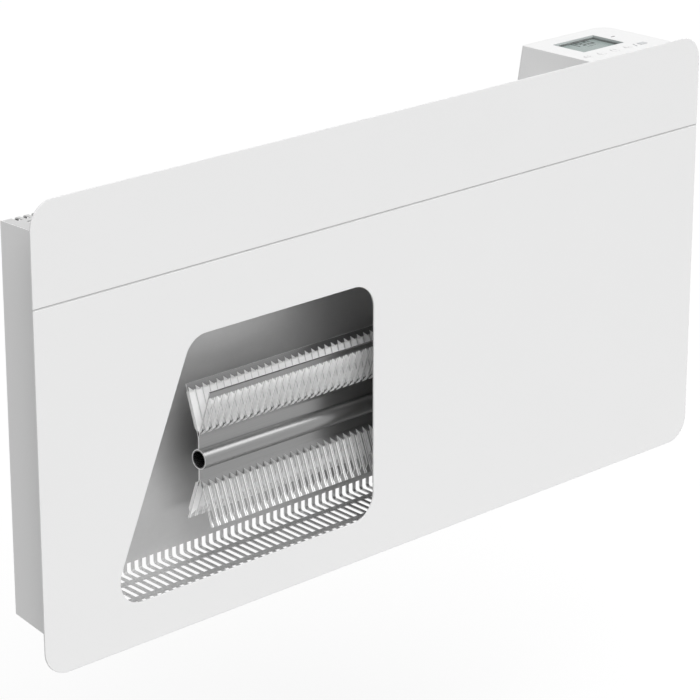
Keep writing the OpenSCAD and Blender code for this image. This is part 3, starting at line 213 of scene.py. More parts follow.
class Shader(Graph):
    """One material's node tree, with a Principled surface and the patterns that the finishes use."""

    def __init__(self, name: str) -> None:
        """Makes a material with a Principled surface.

        Args:
            name: The material's name.
        """
        self.material = bpy.data.materials.new(name)
        self.material.use_nodes = True
        super().__init__(self.material.node_tree)
        self.surface = self.node("ShaderNodeBsdfPrincipled", {}, {})
        self.output = self.node("ShaderNodeOutputMaterial", {}, {"Surface": self.surface.outputs["BSDF"]})
        self._coordinates: Optional[bpy.types.NodeSocket] = None

    @property
    def coordinates(self) -> bpy.types.NodeSocket:
        """The place on the object, in metres in the shared frame."""
        if self._coordinates is None:
            self._coordinates = self.node("ShaderNodeTexCoord", {}, {}).outputs["Object"]
        return self._coordinates

    def stretched(self, scale: tuple[float, float, float]) -> bpy.types.NodeSocket:
        """Returns the place scaled along each axis.

        Args:
            scale: Factors along X, Y and Z.
        """
        made = self.node("ShaderNodeMapping", {}, {"Vector": self.coordinates, "Scale": scale})
        return made.outputs["Vector"]

    def axis(self, index: int) -> Value:
        """Returns one coordinate of the place, in metres.

        Args:
            index: 0, 1 or 2 for X, Y or Z.
        """
        made = self.node("ShaderNodeSeparateXYZ", {}, {0: self.coordinates})
        return Value(self, made.outputs[index])

    def noise(
        self, scale: float, detail: float = 2.0, stretch: tuple[float, float, float] = (1.0, 1.0, 1.0)
    ) -> Value:
        """Returns soft noise between about 0.2 and 0.8.

        Args:
            scale: Cells in a metre.
            detail: Octaves.
            stretch: Factors on the place along each axis.
        """
        place = self.stretched(stretch)
        made = self.node("ShaderNodeTexNoise", {}, {"Vector": place, "Scale": scale, "Detail": detail})
        return Value(self, made.outputs["Fac"])

    def cells(self, scale: float, stretch: tuple[float, float, float] = (1.0, 1.0, 1.0)) -> Value:
        """Returns one random number in each cell.

        Args:
            scale: Cells in a metre.
            stretch: Factors on the place along each axis.
        """
        made = self.node(
            "ShaderNodeTexVoronoi", {"feature": "F1"}, {"Vector": self.stretched(stretch), "Scale": scale}
        )
        parts = self.node("ShaderNodeSeparateColor", {}, {0: made.outputs["Color"]})
        return Value(self, parts.outputs[0])

    def facing(self, index: int) -> Value:
        """Returns how far a face looks along an axis, from -1 to 1.

        Args:
            index: 0, 1 or 2 for X, Y or Z.
        """
        made = self.node("ShaderNodeNewGeometry", {}, {})
        parts = self.node("ShaderNodeSeparateXYZ", {}, {0: made.outputs["True Normal"]})
        return Value(self, parts.outputs[index])

    def blend(self, factor: Number, first: Union[Colour, Tint], second: Union[Colour, Tint]) -> Tint:
        """Returns a colour between two.

        Args:
            factor: 0 for the first, 1 for the second.
            first: A colour.
            second: Another colour.
        """
        made = self.node("ShaderNodeMix", {"data_type": "RGBA"}, {0: factor, 6: first, 7: second})
        return Tint(self, made.outputs[2])

    def bump(
        self, height: Value, strength: float, distance: float, soft_edge: float = 0.0, flat: bool = False
    ) -> None:
        """Feeds the surface's normal from a height, over flat faces or a softened edge where asked for.

        Args:
            height: The height map.
            strength: The Bump node's strength.
            distance: The height in metres of a full step.
            soft_edge: The radius in metres of the softened edge.
            flat: Whether each face keeps its own true normal, as a wide flat sheet needs.
        """
        sockets: dict[Union[int, str], Any] = {"Height": height, "Strength": strength, "Distance": distance}
        if flat:
            sockets["Normal"] = self.node("ShaderNodeNewGeometry", {}, {}).outputs["True Normal"]
        elif soft_edge > 0:
            edge = self.node("ShaderNodeBevel", {"samples": 6}, {"Radius": soft_edge})
            sockets["Normal"] = edge.outputs["Normal"]
        made = self.node("ShaderNodeBump", {}, sockets)
        self.feed(self.surface.inputs["Normal"], made.outputs["Normal"])

    def set(self, **sockets: Any) -> None:
        """Sets or links the surface's own sockets.

        Args:
            sockets: Socket names with underscores for spaces, and their values or links.
        """
        for name, given in sockets.items():
            self.feed(self.surface.inputs[name.replace("_", " ")], given)


# ---------------------------------------------------------------- finishes


def shaded(colour: Colour, tone: float) -> Colour:
    """Returns a darker tone of a colour.

    Args:
        colour: The colour.
        tone: The share of it that is left.
    """
    red, green, blue = (part * tone for part in colour)
    return red, green, blue


@dataclass(frozen=True)
class PowderCoat:
    """Sprayed and baked paint on sheet steel, with a faint orange peel, and painted shade darkening the paint
    along its pressed groove if it has one.
    """

    name: str
    colour: Colour
    roughness: float = 0.42
    groove_at: float = 0.0
    groove_reach: float = 0.0
    groove_blur: float = 0.2
    # How dark the painted shade in the groove is, as a share of the paint's colour.
    groove_shade_tone: float = 0.74
    cloud_scale: float = 9.0
    cloud_tone: float = 0.985
    grain_scale: float = 1500.0
    grain_swing: float = 0.08
    peel_scale: float = 620.0
    peel: float = 0.05
    peel_height: float = 0.1 * MM
    soft_edge: float = 0.5 * MM

    def build(self) -> bpy.types.Material:
        """Returns the finish as a material."""
        s = Shader(self.name)
        cloud = s.noise(self.cloud_scale, detail=3.0)
        grain = s.noise(self.grain_scale, detail=1.0)
        tint = s.blend(cloud, shaded(self.colour, self.cloud_tone), self.colour)
        # Painted shade: the paint is darkened in a band along the pressed groove, where shade falls in it.
        if self.groove_reach > 0:
            off = s.axis(2).distance(self.groove_at)
            blur = self.groove_reach * self.groove_blur
            painted_groove_shade = 1.0 - off.step(self.groove_reach - blur, self.groove_reach + blur)
            tint = s.blend(painted_groove_shade, tint, shaded(self.colour, self.groove_shade_tone))
        s.set(Base_Color=tint, Roughness=self.roughness + grain.swing(self.grain_swing))
        s.bump(s.noise(self.peel_scale), self.peel, self.peel_height, self.soft_edge)
        return s.material


class Rolling(Enum):
    """The way that the rolling lines of a sheet run."""

    ALONG_X = (0.02, 1.0, 1.0)
    ALONG_Z = (1.0, 1.0, 0.02)


@dataclass(frozen=True)
class SheetMetal:
    """Bare sheet with rolling lines and a faint spangle."""

    name: str
    colour: Colour
    roughness: float = 0.36
    lines: Rolling = Rolling.ALONG_X
    line_scale: float = 900.0
    line_swing: float = 0.1
    line_bump: float = 0.05
    line_height: float = 0.05 * MM
    spangle: float = 0.04
    spangle_scale: float = 140.0
    smudge_scale: float = 14.0
    smudge_tone: float = 0.86

    def build(self) -> bpy.types.Material:
        """Returns the finish as a material."""
        s = Shader(self.name)
        streak = s.noise(self.line_scale, stretch=self.lines.value)
        cell = s.cells(self.spangle_scale)
        smudge = s.noise(self.smudge_scale, detail=3.0)
        tone = (streak * 0.5 + smudge * 0.5).clamped()
        s.set(
            Base_Color=s.blend(tone, shaded(self.colour, self.smudge_tone), self.colour),
            Metallic=1.0,
            Roughness=self.roughness + cell.swing(self.spangle) + streak.swing(self.line_swing),
        )
        s.bump(streak, self.line_bump, self.line_height, flat=True)
        return s.material


@dataclass(frozen=True)
class FinMetal:
    """Rolled sheet of an element, its louvres painted lighter than its flat parts as painted light, those
    above the rod lighter than those below, with painted highlights on each louvre's lip and fold and, where
    asked for, on upward-facing hems.

    Its rows of louvres lie as far from the rod's axis as zone says, and start and repeat along X as in the
    part's source.
    """

    name: str
    # The first colour is the sheet's own; the two louvre colours are painted light, lighter than it, the one
    # above the rod lighter than the one below; the last is the colour of the painted highlights.
    flat: Colour
    upper_lit: Colour
    lower_lit: Colour
    painted_highlight: Colour
    roughness: float = 0.30
    # How strongly upward-facing hems take a painted highlight.
    hem_highlight: float = 0.0
    dull: float = 0.75
    first: float = -218.85 * MM
    pitch: float = 8.8 * MM
    width: float = 6.5 * MM
    # Half width of the painted highlight bands on each louvre's lip and fold, and how soft their edges are.
    highlight_reach: float = 0.8 * MM
    highlight_blur: float = 0.3
    axis_z: float = -93 * MM
    zone: Point2 = (28 * MM, 65 * MM)
    zone_blur: float = 1 * MM
    side_facing: Point2 = (0.10, 0.18)
    lip_facing: Point2 = (0.80, 0.95)
    hem_facing: Point2 = (0.85, 0.95)
    streak_scale: float = 900.0
    streak_tone: float = 0.88
    streak_swing: float = 0.08
    streak_bump: float = 0.05
    streak_height: float = 0.05 * MM

    def build(self) -> bpy.types.Material:
        """Returns the finish as a material."""
        s = Shader(self.name)
        streak = s.noise(self.streak_scale, stretch=Rolling.ALONG_X.value)
        zone = self._zone(s)
        across = s.facing(0)
        # Painted light: faces tilted along X in the rows of louvres are painted lighter, and made less
        # metallic, than the flat sheet.
        louvres = ((across * across).step(*self.side_facing) + zone * 0.5).clamped()
        # Painted highlights: faces turned to the left (-X), upward-facing hems and bands on each louvre's lip
        # and fold are painted in the highlight colour.
        lip_highlight = (across * -1.0).step(*self.lip_facing)
        painted_hem_highlight = s.facing(2).step(*self.hem_facing) * self.hem_highlight
        lines = (self._fold_highlights(s) * zone + lip_highlight + painted_hem_highlight).clamped()
        # Painted light: louvres above the rod's axis are painted in the lighter colour, those below it in the
        # darker one.
        above = (s.axis(2) - self.axis_z).step(-self.zone_blur, self.zone_blur)
        flat = s.blend(streak, shaded(self.flat, self.streak_tone), self.flat)
        plain = s.blend(louvres, flat, s.blend(above, self.lower_lit, self.upper_lit))
        s.set(
            Base_Color=s.blend(lines, plain, self.painted_highlight),
            Metallic=1.0 - (louvres + lines).clamped() * self.dull,
            Roughness=self.roughness + streak.swing(self.streak_swing),
        )
        s.bump(streak, self.streak_bump, self.streak_height)
        return s.material

    def _zone(self, s: Shader) -> Value:
        """Returns 1 where the rows of louvres are, and 0 elsewhere.

        Args:
            s: The material under construction.
        """
        low, high = self.zone
        blur = self.zone_blur
        rise = s.axis(2).distance(self.axis_z)
        return rise.step(low - blur, low + blur) - rise.step(high - blur, high + blur)

    def _fold_highlights(self, s: Shader) -> Value:
        """Returns 1 on the lip and on the fold of each louvre, where the painted highlights go, and 0 between
        them.

        Args:
            s: The material under construction.
        """
        along = ((s.axis(0) - self.first) / self.pitch).fraction()
        reach = self.highlight_reach / self.pitch
        ends = (reach * (1 - self.highlight_blur), reach * (1 + self.highlight_blur))
        fold = 1.0 - along.distance(self.width / self.pitch).step(*ends)
        lip = 1.0 - (0.5 - along.distance(0.5)).step(*ends)
        return fold + lip


@dataclass(frozen=True)
class TurnedMetal:
    """Plated or turned metal of fasteners, rod and terminals."""

    name: str
    colour: Colour
    roughness: float = 0.28
    stain: float = 0.2
    stain_scale: float = 160.0
    stain_edge: Point2 = (0.3, 0.7)
    grain_scale: float = 2600.0
    grain_swing: float = 0.12
    grain_bump: float = 0.06
    grain_height: float = 0.03 * MM
    soft_edge: float = 0.15 * MM

    def build(self) -> bpy.types.Material:
        """Returns the finish as a material."""
        s = Shader(self.name)
        cloud = s.noise(self.stain_scale, detail=4.0).step(*self.stain_edge)
        fine = s.noise(self.grain_scale, detail=1.0)
        s.set(
            Base_Color=s.blend(cloud, shaded(self.colour, 1.0 - self.stain), self.colour),
            Metallic=1.0,
            Roughness=self.roughness + fine.swing(self.grain_swing),
        )
        s.bump(fine, self.grain_bump, self.grain_height, self.soft_edge)
        return s.material


@dataclass(frozen=True)
class Moulding:
    """Moulded plastic or rubber with a fine spark-eroded grain."""

    name: str
    colour: Colour
    roughness: float = 0.4
    grain: float = 0.08
    grain_scale: float = 2200.0
    grain_swing: float = 0.12
    grain_height: float = 0.05 * MM
    shade: float = 0.03
    shade_scale: float = 28.0
    sheen: float = 0.5
    soft_edge: float = 0.3 * MM

    def build(self) -> bpy.types.Material:
        """Returns the finish as a material."""
        s = Shader(self.name)
        cloud = s.noise(self.shade_scale, detail=3.0)
        fine = s.noise(self.grain_scale)
        s.set(
            Base_Color=s.blend(cloud, shaded(self.colour, 1.0 - self.shade), self.colour),
            Roughness=self.roughness + fine.swing(self.grain_swing),
            Specular_IOR_Level=self.sheen,
        )
        s.bump(fine, self.grain, self.grain_height, self.soft_edge)
        return s.material


@dataclass(frozen=True)
class BoardMask:
    """A circuit board's solder mask, with faint copper tracks under it."""

    name: str
    colour: Colour
    track: Colour
    track_scale: float = 260.0
    track_stretch: float = 0.18
    across_edge: Point2 = (0.55, 0.6)
    along_edge: Point2 = (0.62, 0.66)
    roughness: float = 0.3
    track_roughness: float = 0.08
    track_bump: float = 0.3
    track_height: float = 0.03 * MM

    def build(self) -> bpy.types.Material:
        """Returns the finish as a material."""
        s = Shader(self.name)
        across = s.cells(self.track_scale, (1.0, self.track_stretch, 1.0)).step(*self.across_edge)
        along = s.cells(self.track_scale, (self.track_stretch, 1.0, 1.0)).step(*self.along_edge)
        tracks = (across + along).clamped()
        s.set(
            Base_Color=s.blend(tracks, self.colour, self.track),
            Roughness=self.roughness + tracks * self.track_roughness,
        )
        s.bump(tracks, self.track_bump, self.track_height)
        return s.material


@dataclass(frozen=True)
class DisplayGlass:
    """The display's cell: grey-green, slightly darker to its edges, with a pearly grain."""

    name: str
    colour: Colour
    middle: Point2
    reach: Point2
    rim_edge: Point2 = (0.35, 1.6)
    rim_tone: float = 0.86
    roughness: float = 0.34
    sheen: float = 0.3
    pearl_scale: float = 3000.0
    pearl_swing: float = 0.1
    pearl_bump: float = 0.04
    pearl_height: float = 0.02 * MM

    def build(self) -> bpy.types.Material:
        """Returns the finish as a material."""
        s = Shader(self.name)
        u = (s.axis(0) - self.middle[0]) / self.reach[0]
        v = (s.axis(1) - self.middle[1]) / self.reach[1]
        rim = (u * u * (u * u) + v * v * (v * v)).step(*self.rim_edge)
        pearl = s.noise(self.pearl_scale, detail=1.0)
        s.set(
            Base_Color=s.blend(rim, self.colour, shaded(self.colour, self.rim_tone)),
            Roughness=self.roughness + pearl.swing(self.pearl_swing),
            Specular_IOR_Level=self.sheen,
        )
        s.bump(pearl, self.pearl_bump, self.pearl_height)
        return s.material


@dataclass(frozen=True)
class ClearLens:
    """The clear window over the display."""

    name: str
    colour: Colour
    haze_scale: float = 700.0
    haze_tone: float = 0.98
    roughness: float = 0.04
    haze_roughness: float = 0.03
    alpha: float = 0.03
    haze_alpha: float = 0.02
    ior: float = 1.49

    def build(self) -> bpy.types.Material:
        """Returns the finish as a material."""
        s = Shader(self.name)
        haze = s.noise(self.haze_scale)
        s.set(
            Base_Color=s.blend(haze, self.colour, shaded(self.colour, self.haze_tone)),
            Roughness=self.roughness + haze * self.haze_roughness,
            Alpha=self.alpha + haze * self.haze_alpha,
            IOR=self.ior,
        )
        return s.material


@dataclass(frozen=True)
class Mineral:
    """Pressed mineral or ceramic: dull, speckled and finely pitted."""

    name: str
    colour: Colour
    speck: Colour
    roughness: float = 0.85
    speck_scale: float = 1800.0
    speck_edge: Point2 = (0.5, 0.7)
    speck_shine: float = 0.1
    pit_bump: float = 0.25
    pit_depth: float = 0.08 * MM

    def build(self) -> bpy.types.Material:
        """Returns the finish as a material."""
        s = Shader(self.name)
        speckle = s.noise(self.speck_scale, detail=3.0).step(*self.speck_edge)
        s.set(
            Base_Color=s.blend(speckle, self.colour, self.speck),
            Roughness=self.roughness - speckle * self.speck_shine,
        )
        s.bump(speckle, self.pit_bump, self.pit_depth)
        return s.material


@dataclass(frozen=True)
class LeadCover:
    """Silicone cover of a lead, with a faint woven sleeve."""

    name: str
    colour: Colour
    weave_scale: float = 1400.0
    weave_stretch: tuple[float, float, float] = (1.0, 1.0, 0.4)
    weave_edge: Point2 = (0.35, 0.65)
    weave_tone: float = 0.7
    weave_bump: float = 0.2
    weave_height: float = 0.1 * MM
    roughness: float = 0.5
    weave_roughness: float = 0.1

    def build(self) -> bpy.types.Material:
        """Returns the finish as a material."""
        s = Shader(self.name)
        weave = s.noise(self.weave_scale, 1.0, self.weave_stretch)
        ridge = weave.step(*self.weave_edge)
        s.set(
            Base_Color=s.blend(ridge, shaded(self.colour, self.weave_tone), self.colour),
            Roughness=self.roughness + weave * self.weave_roughness,
        )
        s.bump(weave, self.weave_bump, self.weave_height)
        return s.material


Finish = Union[
    PowderCoat,
    SheetMetal,
    FinMetal,
    TurnedMetal,
    Moulding,
    BoardMask,
    DisplayGlass,
    ClearLens,
    Mineral,
    LeadCover,
]


def dress(finish: Finish, nodes: Iterable[str]) -> None:
    """Gives CAD nodes a finish without touching their meshes.

    Args:
        finish: The finish to build.
        nodes: Names of the CAD nodes that take it.
    """
    material = finish.build()
    for name in nodes:
        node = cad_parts[name]
        for place in node.material_slots:
            place.link = "OBJECT"
            place.material = material
        LOG.info("%s wears %s", name, finish.name)


# ---------------------------------------------------------------- meshes


def finish_mesh(mesh: bmesh.types.BMesh, name: str, finish: Finish, body: str) -> None:
    """Turns a mesh under construction into a dressed piece that rides on a body.

    Args:
        mesh: The mesh, in metres in the shared frame. It is freed.
        name: The piece's name.
        finish: Its finish.
        body: The CAD body that it moves with.
    """
    bmesh.ops.recalc_face_normals(mesh, faces=mesh.faces)
    data = bpy.data.meshes.new(name)
    mesh.to_mesh(data)
    mesh.free()
    piece = bpy.data.objects.new(name, data)
    bpy.context.scene.collection.objects.link(piece)
    data.materials.append(finish.build())
    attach(piece, body)
    LOG.info("%s made, rides on %s", name, body)


def add_prism(mesh: bmesh.types.BMesh, outline: Sequence[Point2], low: float, high: float) -> None:
    """Adds an upright prism to a mesh.

    Args:
        mesh: The mesh under construction.
        outline: Its outline in millimetres, seen from above.
        low: Its lowest height in millimetres.
        high: Its highest height in millimetres.
    """
    rings = [[mesh.verts.new((x * MM, y * MM, z * MM)) for x, y in outline] for z in (low, high)]
    mesh.faces.new(list(reversed(rings[0])))
    mesh.faces.new(rings[1])
    count = len(outline)
    for i in range(count):
        j = (i + 1) % count
        mesh.faces.new((rings[0][i], rings[0][j], rings[1][j], rings[1][i]))


def add_ring(
    mesh: bmesh.types.BMesh, outer: Sequence[Point2], inner: Sequence[Point2], low: float, high: float
) -> None:
    """Adds an upright closed ring, whose two outlines have as many points.

    Args:
        mesh: The mesh under construction.
        outer: Its outer outline in millimetres.
        inner: Its inner outline in millimetres.
        low: Its lowest height in millimetres.
        high: Its highest height in millimetres.
    """
    loops = [
        [mesh.verts.new((x * MM, y * MM, z * MM)) for x, y in points]
        for points, z in ((outer, low), (outer, high), (inner, high), (inner, low))
    ]
    count = len(outer)
    for k, one in enumerate(loops):
        two = loops[(k + 1) % len(loops)]
        for i in range(count):
            j = (i + 1) % count
            mesh.faces.new((one[i], one[j], two[j], two[i]))


def rounded_box(x0: float, y0: float, x1: float, y1: float, radius: float, steps: int = 6) -> list[Point2]:
    """Returns a rectangle's outline with round corners, in millimetres.

    Args:
        x0: Its left edge.
        y0: Its front edge.
        x1: Its right edge.
        y1: Its rear edge.
        radius: Radius of its corners.
        steps: Points in each corner, less one.

    Returns:
        The outline's points, anticlockwise.
    """
    corners = ((x1, y1, 0), (x0, y1, 90), (x0, y0, 180), (x1, y0, 270))
    points: list[Point2] = []
    for x, y, start in corners:
        cx = x - radius if x == x1 else x + radius
        cy = y - radius if y == y1 else y + radius
        for k in range(steps + 1):
            a = math.radians(start + 90 * k / steps)
            points.append((cx + radius * math.cos(a), cy + radius * math.sin(a)))
    return points


def bar(x: float, y: float, width: float, depth: float) -> list[Point2]:
    """Returns a rectangle's outline about its middle, in millimetres.

    Args:
        x: Its middle to the right.
        y: Its middle to the rear.
        width: Its size along X.
        depth: Its size along Y.
    """
    radius = min(width, depth) * BAR_CORNER
    return rounded_box(x - width / 2, y - depth / 2, x + width / 2, y + depth / 2, radius, steps=2)


def arc_band(x: float, y: float, outer: float, inner: float, start: float, end: float) -> list[Point2]:
    """Returns the outline of a band along part of a circle, in millimetres.

    Args:
        x: The circle's middle to the right.
        y: The circle's middle to the rear.
        outer: The band's outer radius.
        inner: The band's inner radius.
        start: Where it starts, in degrees.
        end: Where it ends, in degrees.
    """
    angles = [math.radians(start + (end - start) * k / ARC_STEPS) for k in range(ARC_STEPS + 1)]
    there = [(x + outer * math.cos(a), y + outer * math.sin(a)) for a in angles]
    back = [(x + inner * math.cos(a), y + inner * math.sin(a)) for a in reversed(angles)]
    return there + back


# ---------------------------------------------------------------- sub-assemblies


@dataclass
class FrontPanel:
    """The painted front panel with its window, and the studs' spacers and nuts."""

    colour: Colour = (0.84, 0.84, 0.84)
    # Where the painted shade along the pressed groove lies, and how far it reaches either side.
    groove_at: float = 118 * MM
    groove_reach: float = 1.0 * MM

    def dress(self) -> None:
        """Paints the panel and plates its hardware."""
        paint = PowderCoat(
            "satin_white_panel", self.colour, groove_at=self.groove_at, groove_reach=self.groove_reach
        )
        dress(paint, ["front_panel"])
        dress(TurnedMetal("bright_zinc", (0.62, 0.63, 0.65)), ["panel_nuts", "panel_spacers"])


@dataclass
class Casing:
    """The slotted sheet casing, its painted side covers, the partition and their fasteners."""

    sheet: Colour = (0.66, 0.66, 0.66)
    cover: Colour = (0.84, 0.84, 0.84)
    rubber: Colour = (0.035, 0.035, 0.037)

    def dress(self) -> None:
        """Gives the casing bright galvanised sheet, and its covers paint."""
        dress(SheetMetal("galvanised_casing", self.sheet, roughness=0.56), ["rear_casing"])
        dress(
            SheetMetal("galvanised_partition", self.sheet, roughness=0.40, lines=Rolling.ALONG_Z),
            ["partition_plate"],
        )
        paint = PowderCoat("satin_white_cover", self.cover, roughness=0.46)
        dress(paint, ["left_side_cover", "right_side_cover"])
        dress(TurnedMetal("zinc_screws", (0.60, 0.60, 0.62)), ["casing_screws"])
        dress(TurnedMetal("steel_rivets", (0.50, 0.50, 0.51), roughness=0.34), ["sheet_rivets"])
        dress(TurnedMetal("brass_stud", (0.62, 0.47, 0.20)), ["earth_stud"])
        dress(Moulding("moulded_rubber", self.rubber, roughness=0.62, grain=0.2), ["lead_grommet"])


@dataclass
class Element:
    """The X-shaped louvred element on its steel rod, its brackets, cut-out and room sensor."""

    flat: Colour = (0.31, 0.31, 0.31)
    # Painted light: the three louvre colours are painted lighter than the flat sheet, the front one above the
    # rod lighter than the front one below it; the colour after them is the painted highlight on the louvres'
    # lip and fold bands and on the rear sheet's upward-facing hems.
    rear_louvre_lit: Colour = (0.97, 0.97, 0.97)
    front_upper_louvre_lit: Colour = (0.88, 0.88, 0.88)
    front_lower_louvre_lit: Colour = (0.50, 0.50, 0.50)
    painted_highlight: Colour = (0.98, 0.98, 0.98)
    rod: Colour = (0.55, 0.55, 0.55)
    phenolic: Colour = (0.05, 0.04, 0.035)

    def dress(self) -> None:
        """Gives each piece of the element its own metal or mineral."""
        upper_lit, lower_lit, rear = self.front_upper_louvre_lit, self.front_lower_louvre_lit, self.rear_louvre_lit
        # The louvres' colours are painted light and the last colour is a painted highlight; the rear sheet
        # also takes painted highlights on its upward-facing hems.
        dress(FinMetal("rolled_front_sheet", self.flat, upper_lit, lower_lit, self.painted_highlight), ["element_front_sheet"])
        dress(
            FinMetal("rolled_rear_sheet", self.flat, rear, rear, self.painted_highlight, roughness=0.36, hem_highlight=1.0),
            ["element_rear_sheet"],
        )
        dress(TurnedMetal("drawn_steel_tube", self.rod, roughness=0.26, stain=0.1), ["rod_sheath"])
        dress(Mineral("pressed_filler", (0.012, 0.012, 0.012), (0.03, 0.03, 0.03)), ["rod_core"])
        dress(Mineral("unglazed_ceramic", (0.78, 0.74, 0.66), (0.60, 0.56, 0.48)), ["rod_seal"])
        dress(TurnedMetal("stamped_brass", (0.68, 0.53, 0.24)), ["rod_terminals"])
        dress(
            SheetMetal("galvanised_brackets", (0.52, 0.53, 0.54), lines=Rolling.ALONG_Z),
            ["element_bracket_left", "element_bracket_right", "cutout_bracket"],
        )
        dress(Moulding("dark_phenolic", self.phenolic, roughness=0.35), ["thermal_cutout"])
        dress(Moulding("coated_bead", (0.72, 0.70, 0.64), roughness=0.45), ["room_sensor"])


class Key(Enum):
    """The four round keys from left to right, by their bodies' names."""

    POWER = "button_power"
    MINUS = "button_minus"
    PLUS = "button_plus"
    MENU = "button_menu"


@dataclass
class ControlBox:
    """The white control box with its display, keys, printed marks and light guide.

    Lengths are in millimetres in the shared frame, and agree with the part's source.
    """

    white: Colour = (0.82, 0.82, 0.82)
    print_grey: Colour = (0.24, 0.25, 0.26)
    top: float = 214.5
    key_floor: float = 214.65
    key_y: float = -81.5
    first_key_x: float = 290.5
    key_pitch: float = 20.0
    symbol: float = 4.2
    stroke: float = 0.7
    power_opening: float = 3.0
    gap: float = 0.04
    ink: float = 0.05
    opening: tuple[float, float, float, float] = (300.5, -66.0, 362.5, -22.0)
    lens_top: float = 212.0
    liner: float = 0.3
    liner_corners: Point2 = (0.4, 0.25)
    liner_drop: float = 0.12
    glass_top: float = 210.5
    digit_size: Point2 = (8.2, 13.0)
    digit_stroke: float = 2.0
    digit_joint: float = 0.25
    digit_places: tuple[tuple[str, float], ...] = (("1", 324.5), ("9", 335.0), ("0", 347.0))
    digit_y: float = -30.0
    point_x: float = 341.0
    point_rise: float = 0.8
    point_size: Point2 = (1.5, 1.6)
    first_mark: Point2 = (335.0, -41.0)
    mark_pitch: float = 2.6
    mark_size: Point2 = (1.9, 1.1)
    mark_count: int = 5
    slash_x: float = 361.6
    slash_lean: float = 1.8
    slash_half: float = 4.8
    slash_stroke: float = 1.2

    def dress(self) -> None:
        """Gives the moulded, printed and clear pieces their finishes."""
        white = Moulding("satin_white_moulding", self.white, roughness=0.36, grain=0.05)
        dress(white, ["control_housing", "control_base"])
        dress(
            Moulding("white_key_moulding", self.white, roughness=0.32, grain=0.03),
            [key.value for key in Key],
        )
        dress(Moulding("grey_key_moulding", (0.56, 0.57, 0.58), roughness=0.34, grain=0.03), ["button_ok"])
        guide = Moulding("smoked_light_guide", (0.10, 0.10, 0.105), roughness=0.18, grain=0.02)
        dress(guide, ["indicator_lens"])
        dress(ClearLens("clear_display_lens", (0.9, 0.93, 0.92)), ["lcd_window"])
        x0, y0, x1, y1 = self.opening
        middle = ((x0 + x1) / 2 * MM, (y0 + y1) / 2 * MM)
        reach = ((x1 - x0) / 2 * MM, (y1 - y0) / 2 * MM)
        dress(DisplayGlass("display_glass", (0.27, 0.325, 0.315), middle, reach), ["lcd_module"])
        dress(TurnedMetal("small_zinc_screws", (0.60, 0.60, 0.62)), ["control_screws"])
        dress(Moulding("black_nylon", (0.03, 0.03, 0.03), roughness=0.5), ["cable_gland", "gland_nut"])

    def build(self) -> None:
        """Makes the display's figures and liner, the keys' ink and the printed slash."""
        self._digits()
        self._display_liner()
        self._key_ink()
        self._slash()

    def _segments(self, digit: str, x: float) -> list[list[Point2]]:
        """Returns the outlines of one digit's lit segments.

        Args:
            digit: The figure to show.
            x: Its middle to the right.
        """
        lit = {"0": "abcdef", "1": "bc", "9": "abcdfg"}[digit]
        width, height = self.digit_size
        s = self.digit_stroke
        side, half = width / 2 - s / 2, height / 2 - s / 2
        tall, wide = half + s / 2 - self.digit_joint / 2, width - 2 * (s + self.digit_joint)
        rise = (half + s / 2 + self.digit_joint / 2) / 2
        y = self.digit_y
        shapes = {
            "a": bar(x, y + half, wide, s),
            "g": bar(x, y, wide, s),
            "d": bar(x, y - half, wide, s),
            "b": bar(x + side, y + rise, s, tall),
            "c": bar(x + side, y - rise, s, tall),
            "f": bar(x - side, y + rise, s, tall),
            "e": bar(x - side, y - rise, s, tall),
        }
        return [shapes[name] for name in lit]

    def _digits(self) -> None:
        """Makes the display's figures, decimal point and the row of marks under them."""
        mesh = bmesh.new()
        low = self.glass_top
        shapes = [shape for digit, x in self.digit_places for shape in self._segments(digit, x)]
        foot = self.digit_y - self.digit_size[1] / 2
        shapes.append(bar(self.point_x, foot + self.point_rise, *self.point_size))
        mark_x, mark_y = self.first_mark
        shapes += [bar(mark_x + self.mark_pitch * i, mark_y, *self.mark_size) for i in range(self.mark_count)]
        for shape in shapes:
            add_prism(mesh, shape, low, low + self.ink)
        ink = Moulding("display_figures", (0.02, 0.028, 0.026), roughness=0.5, grain=0.02, sheen=0.1)
        finish_mesh(mesh, "display_figures", ink, HEATER)

    def _display_liner(self) -> None:
        """Makes the thin grey liner round the walls of the display's recess."""
        x0, y0, x1, y1 = self.opening
        g, t = self.gap, self.gap + self.liner
        outer = rounded_box(x0 + g, y0 + g, x1 - g, y1 - g, self.liner_corners[0])
        inner = rounded_box(x0 + t, y0 + t, x1 - t, y1 - t, self.liner_corners[1])
        mesh = bmesh.new()
        add_ring(mesh, outer, inner, self.lens_top + self.gap, self.top - self.liner_drop)
        liner = Moulding("display_liner", (0.52, 0.55, 0.545), roughness=0.5)
        finish_mesh(mesh, "display_liner", liner, HEATER)

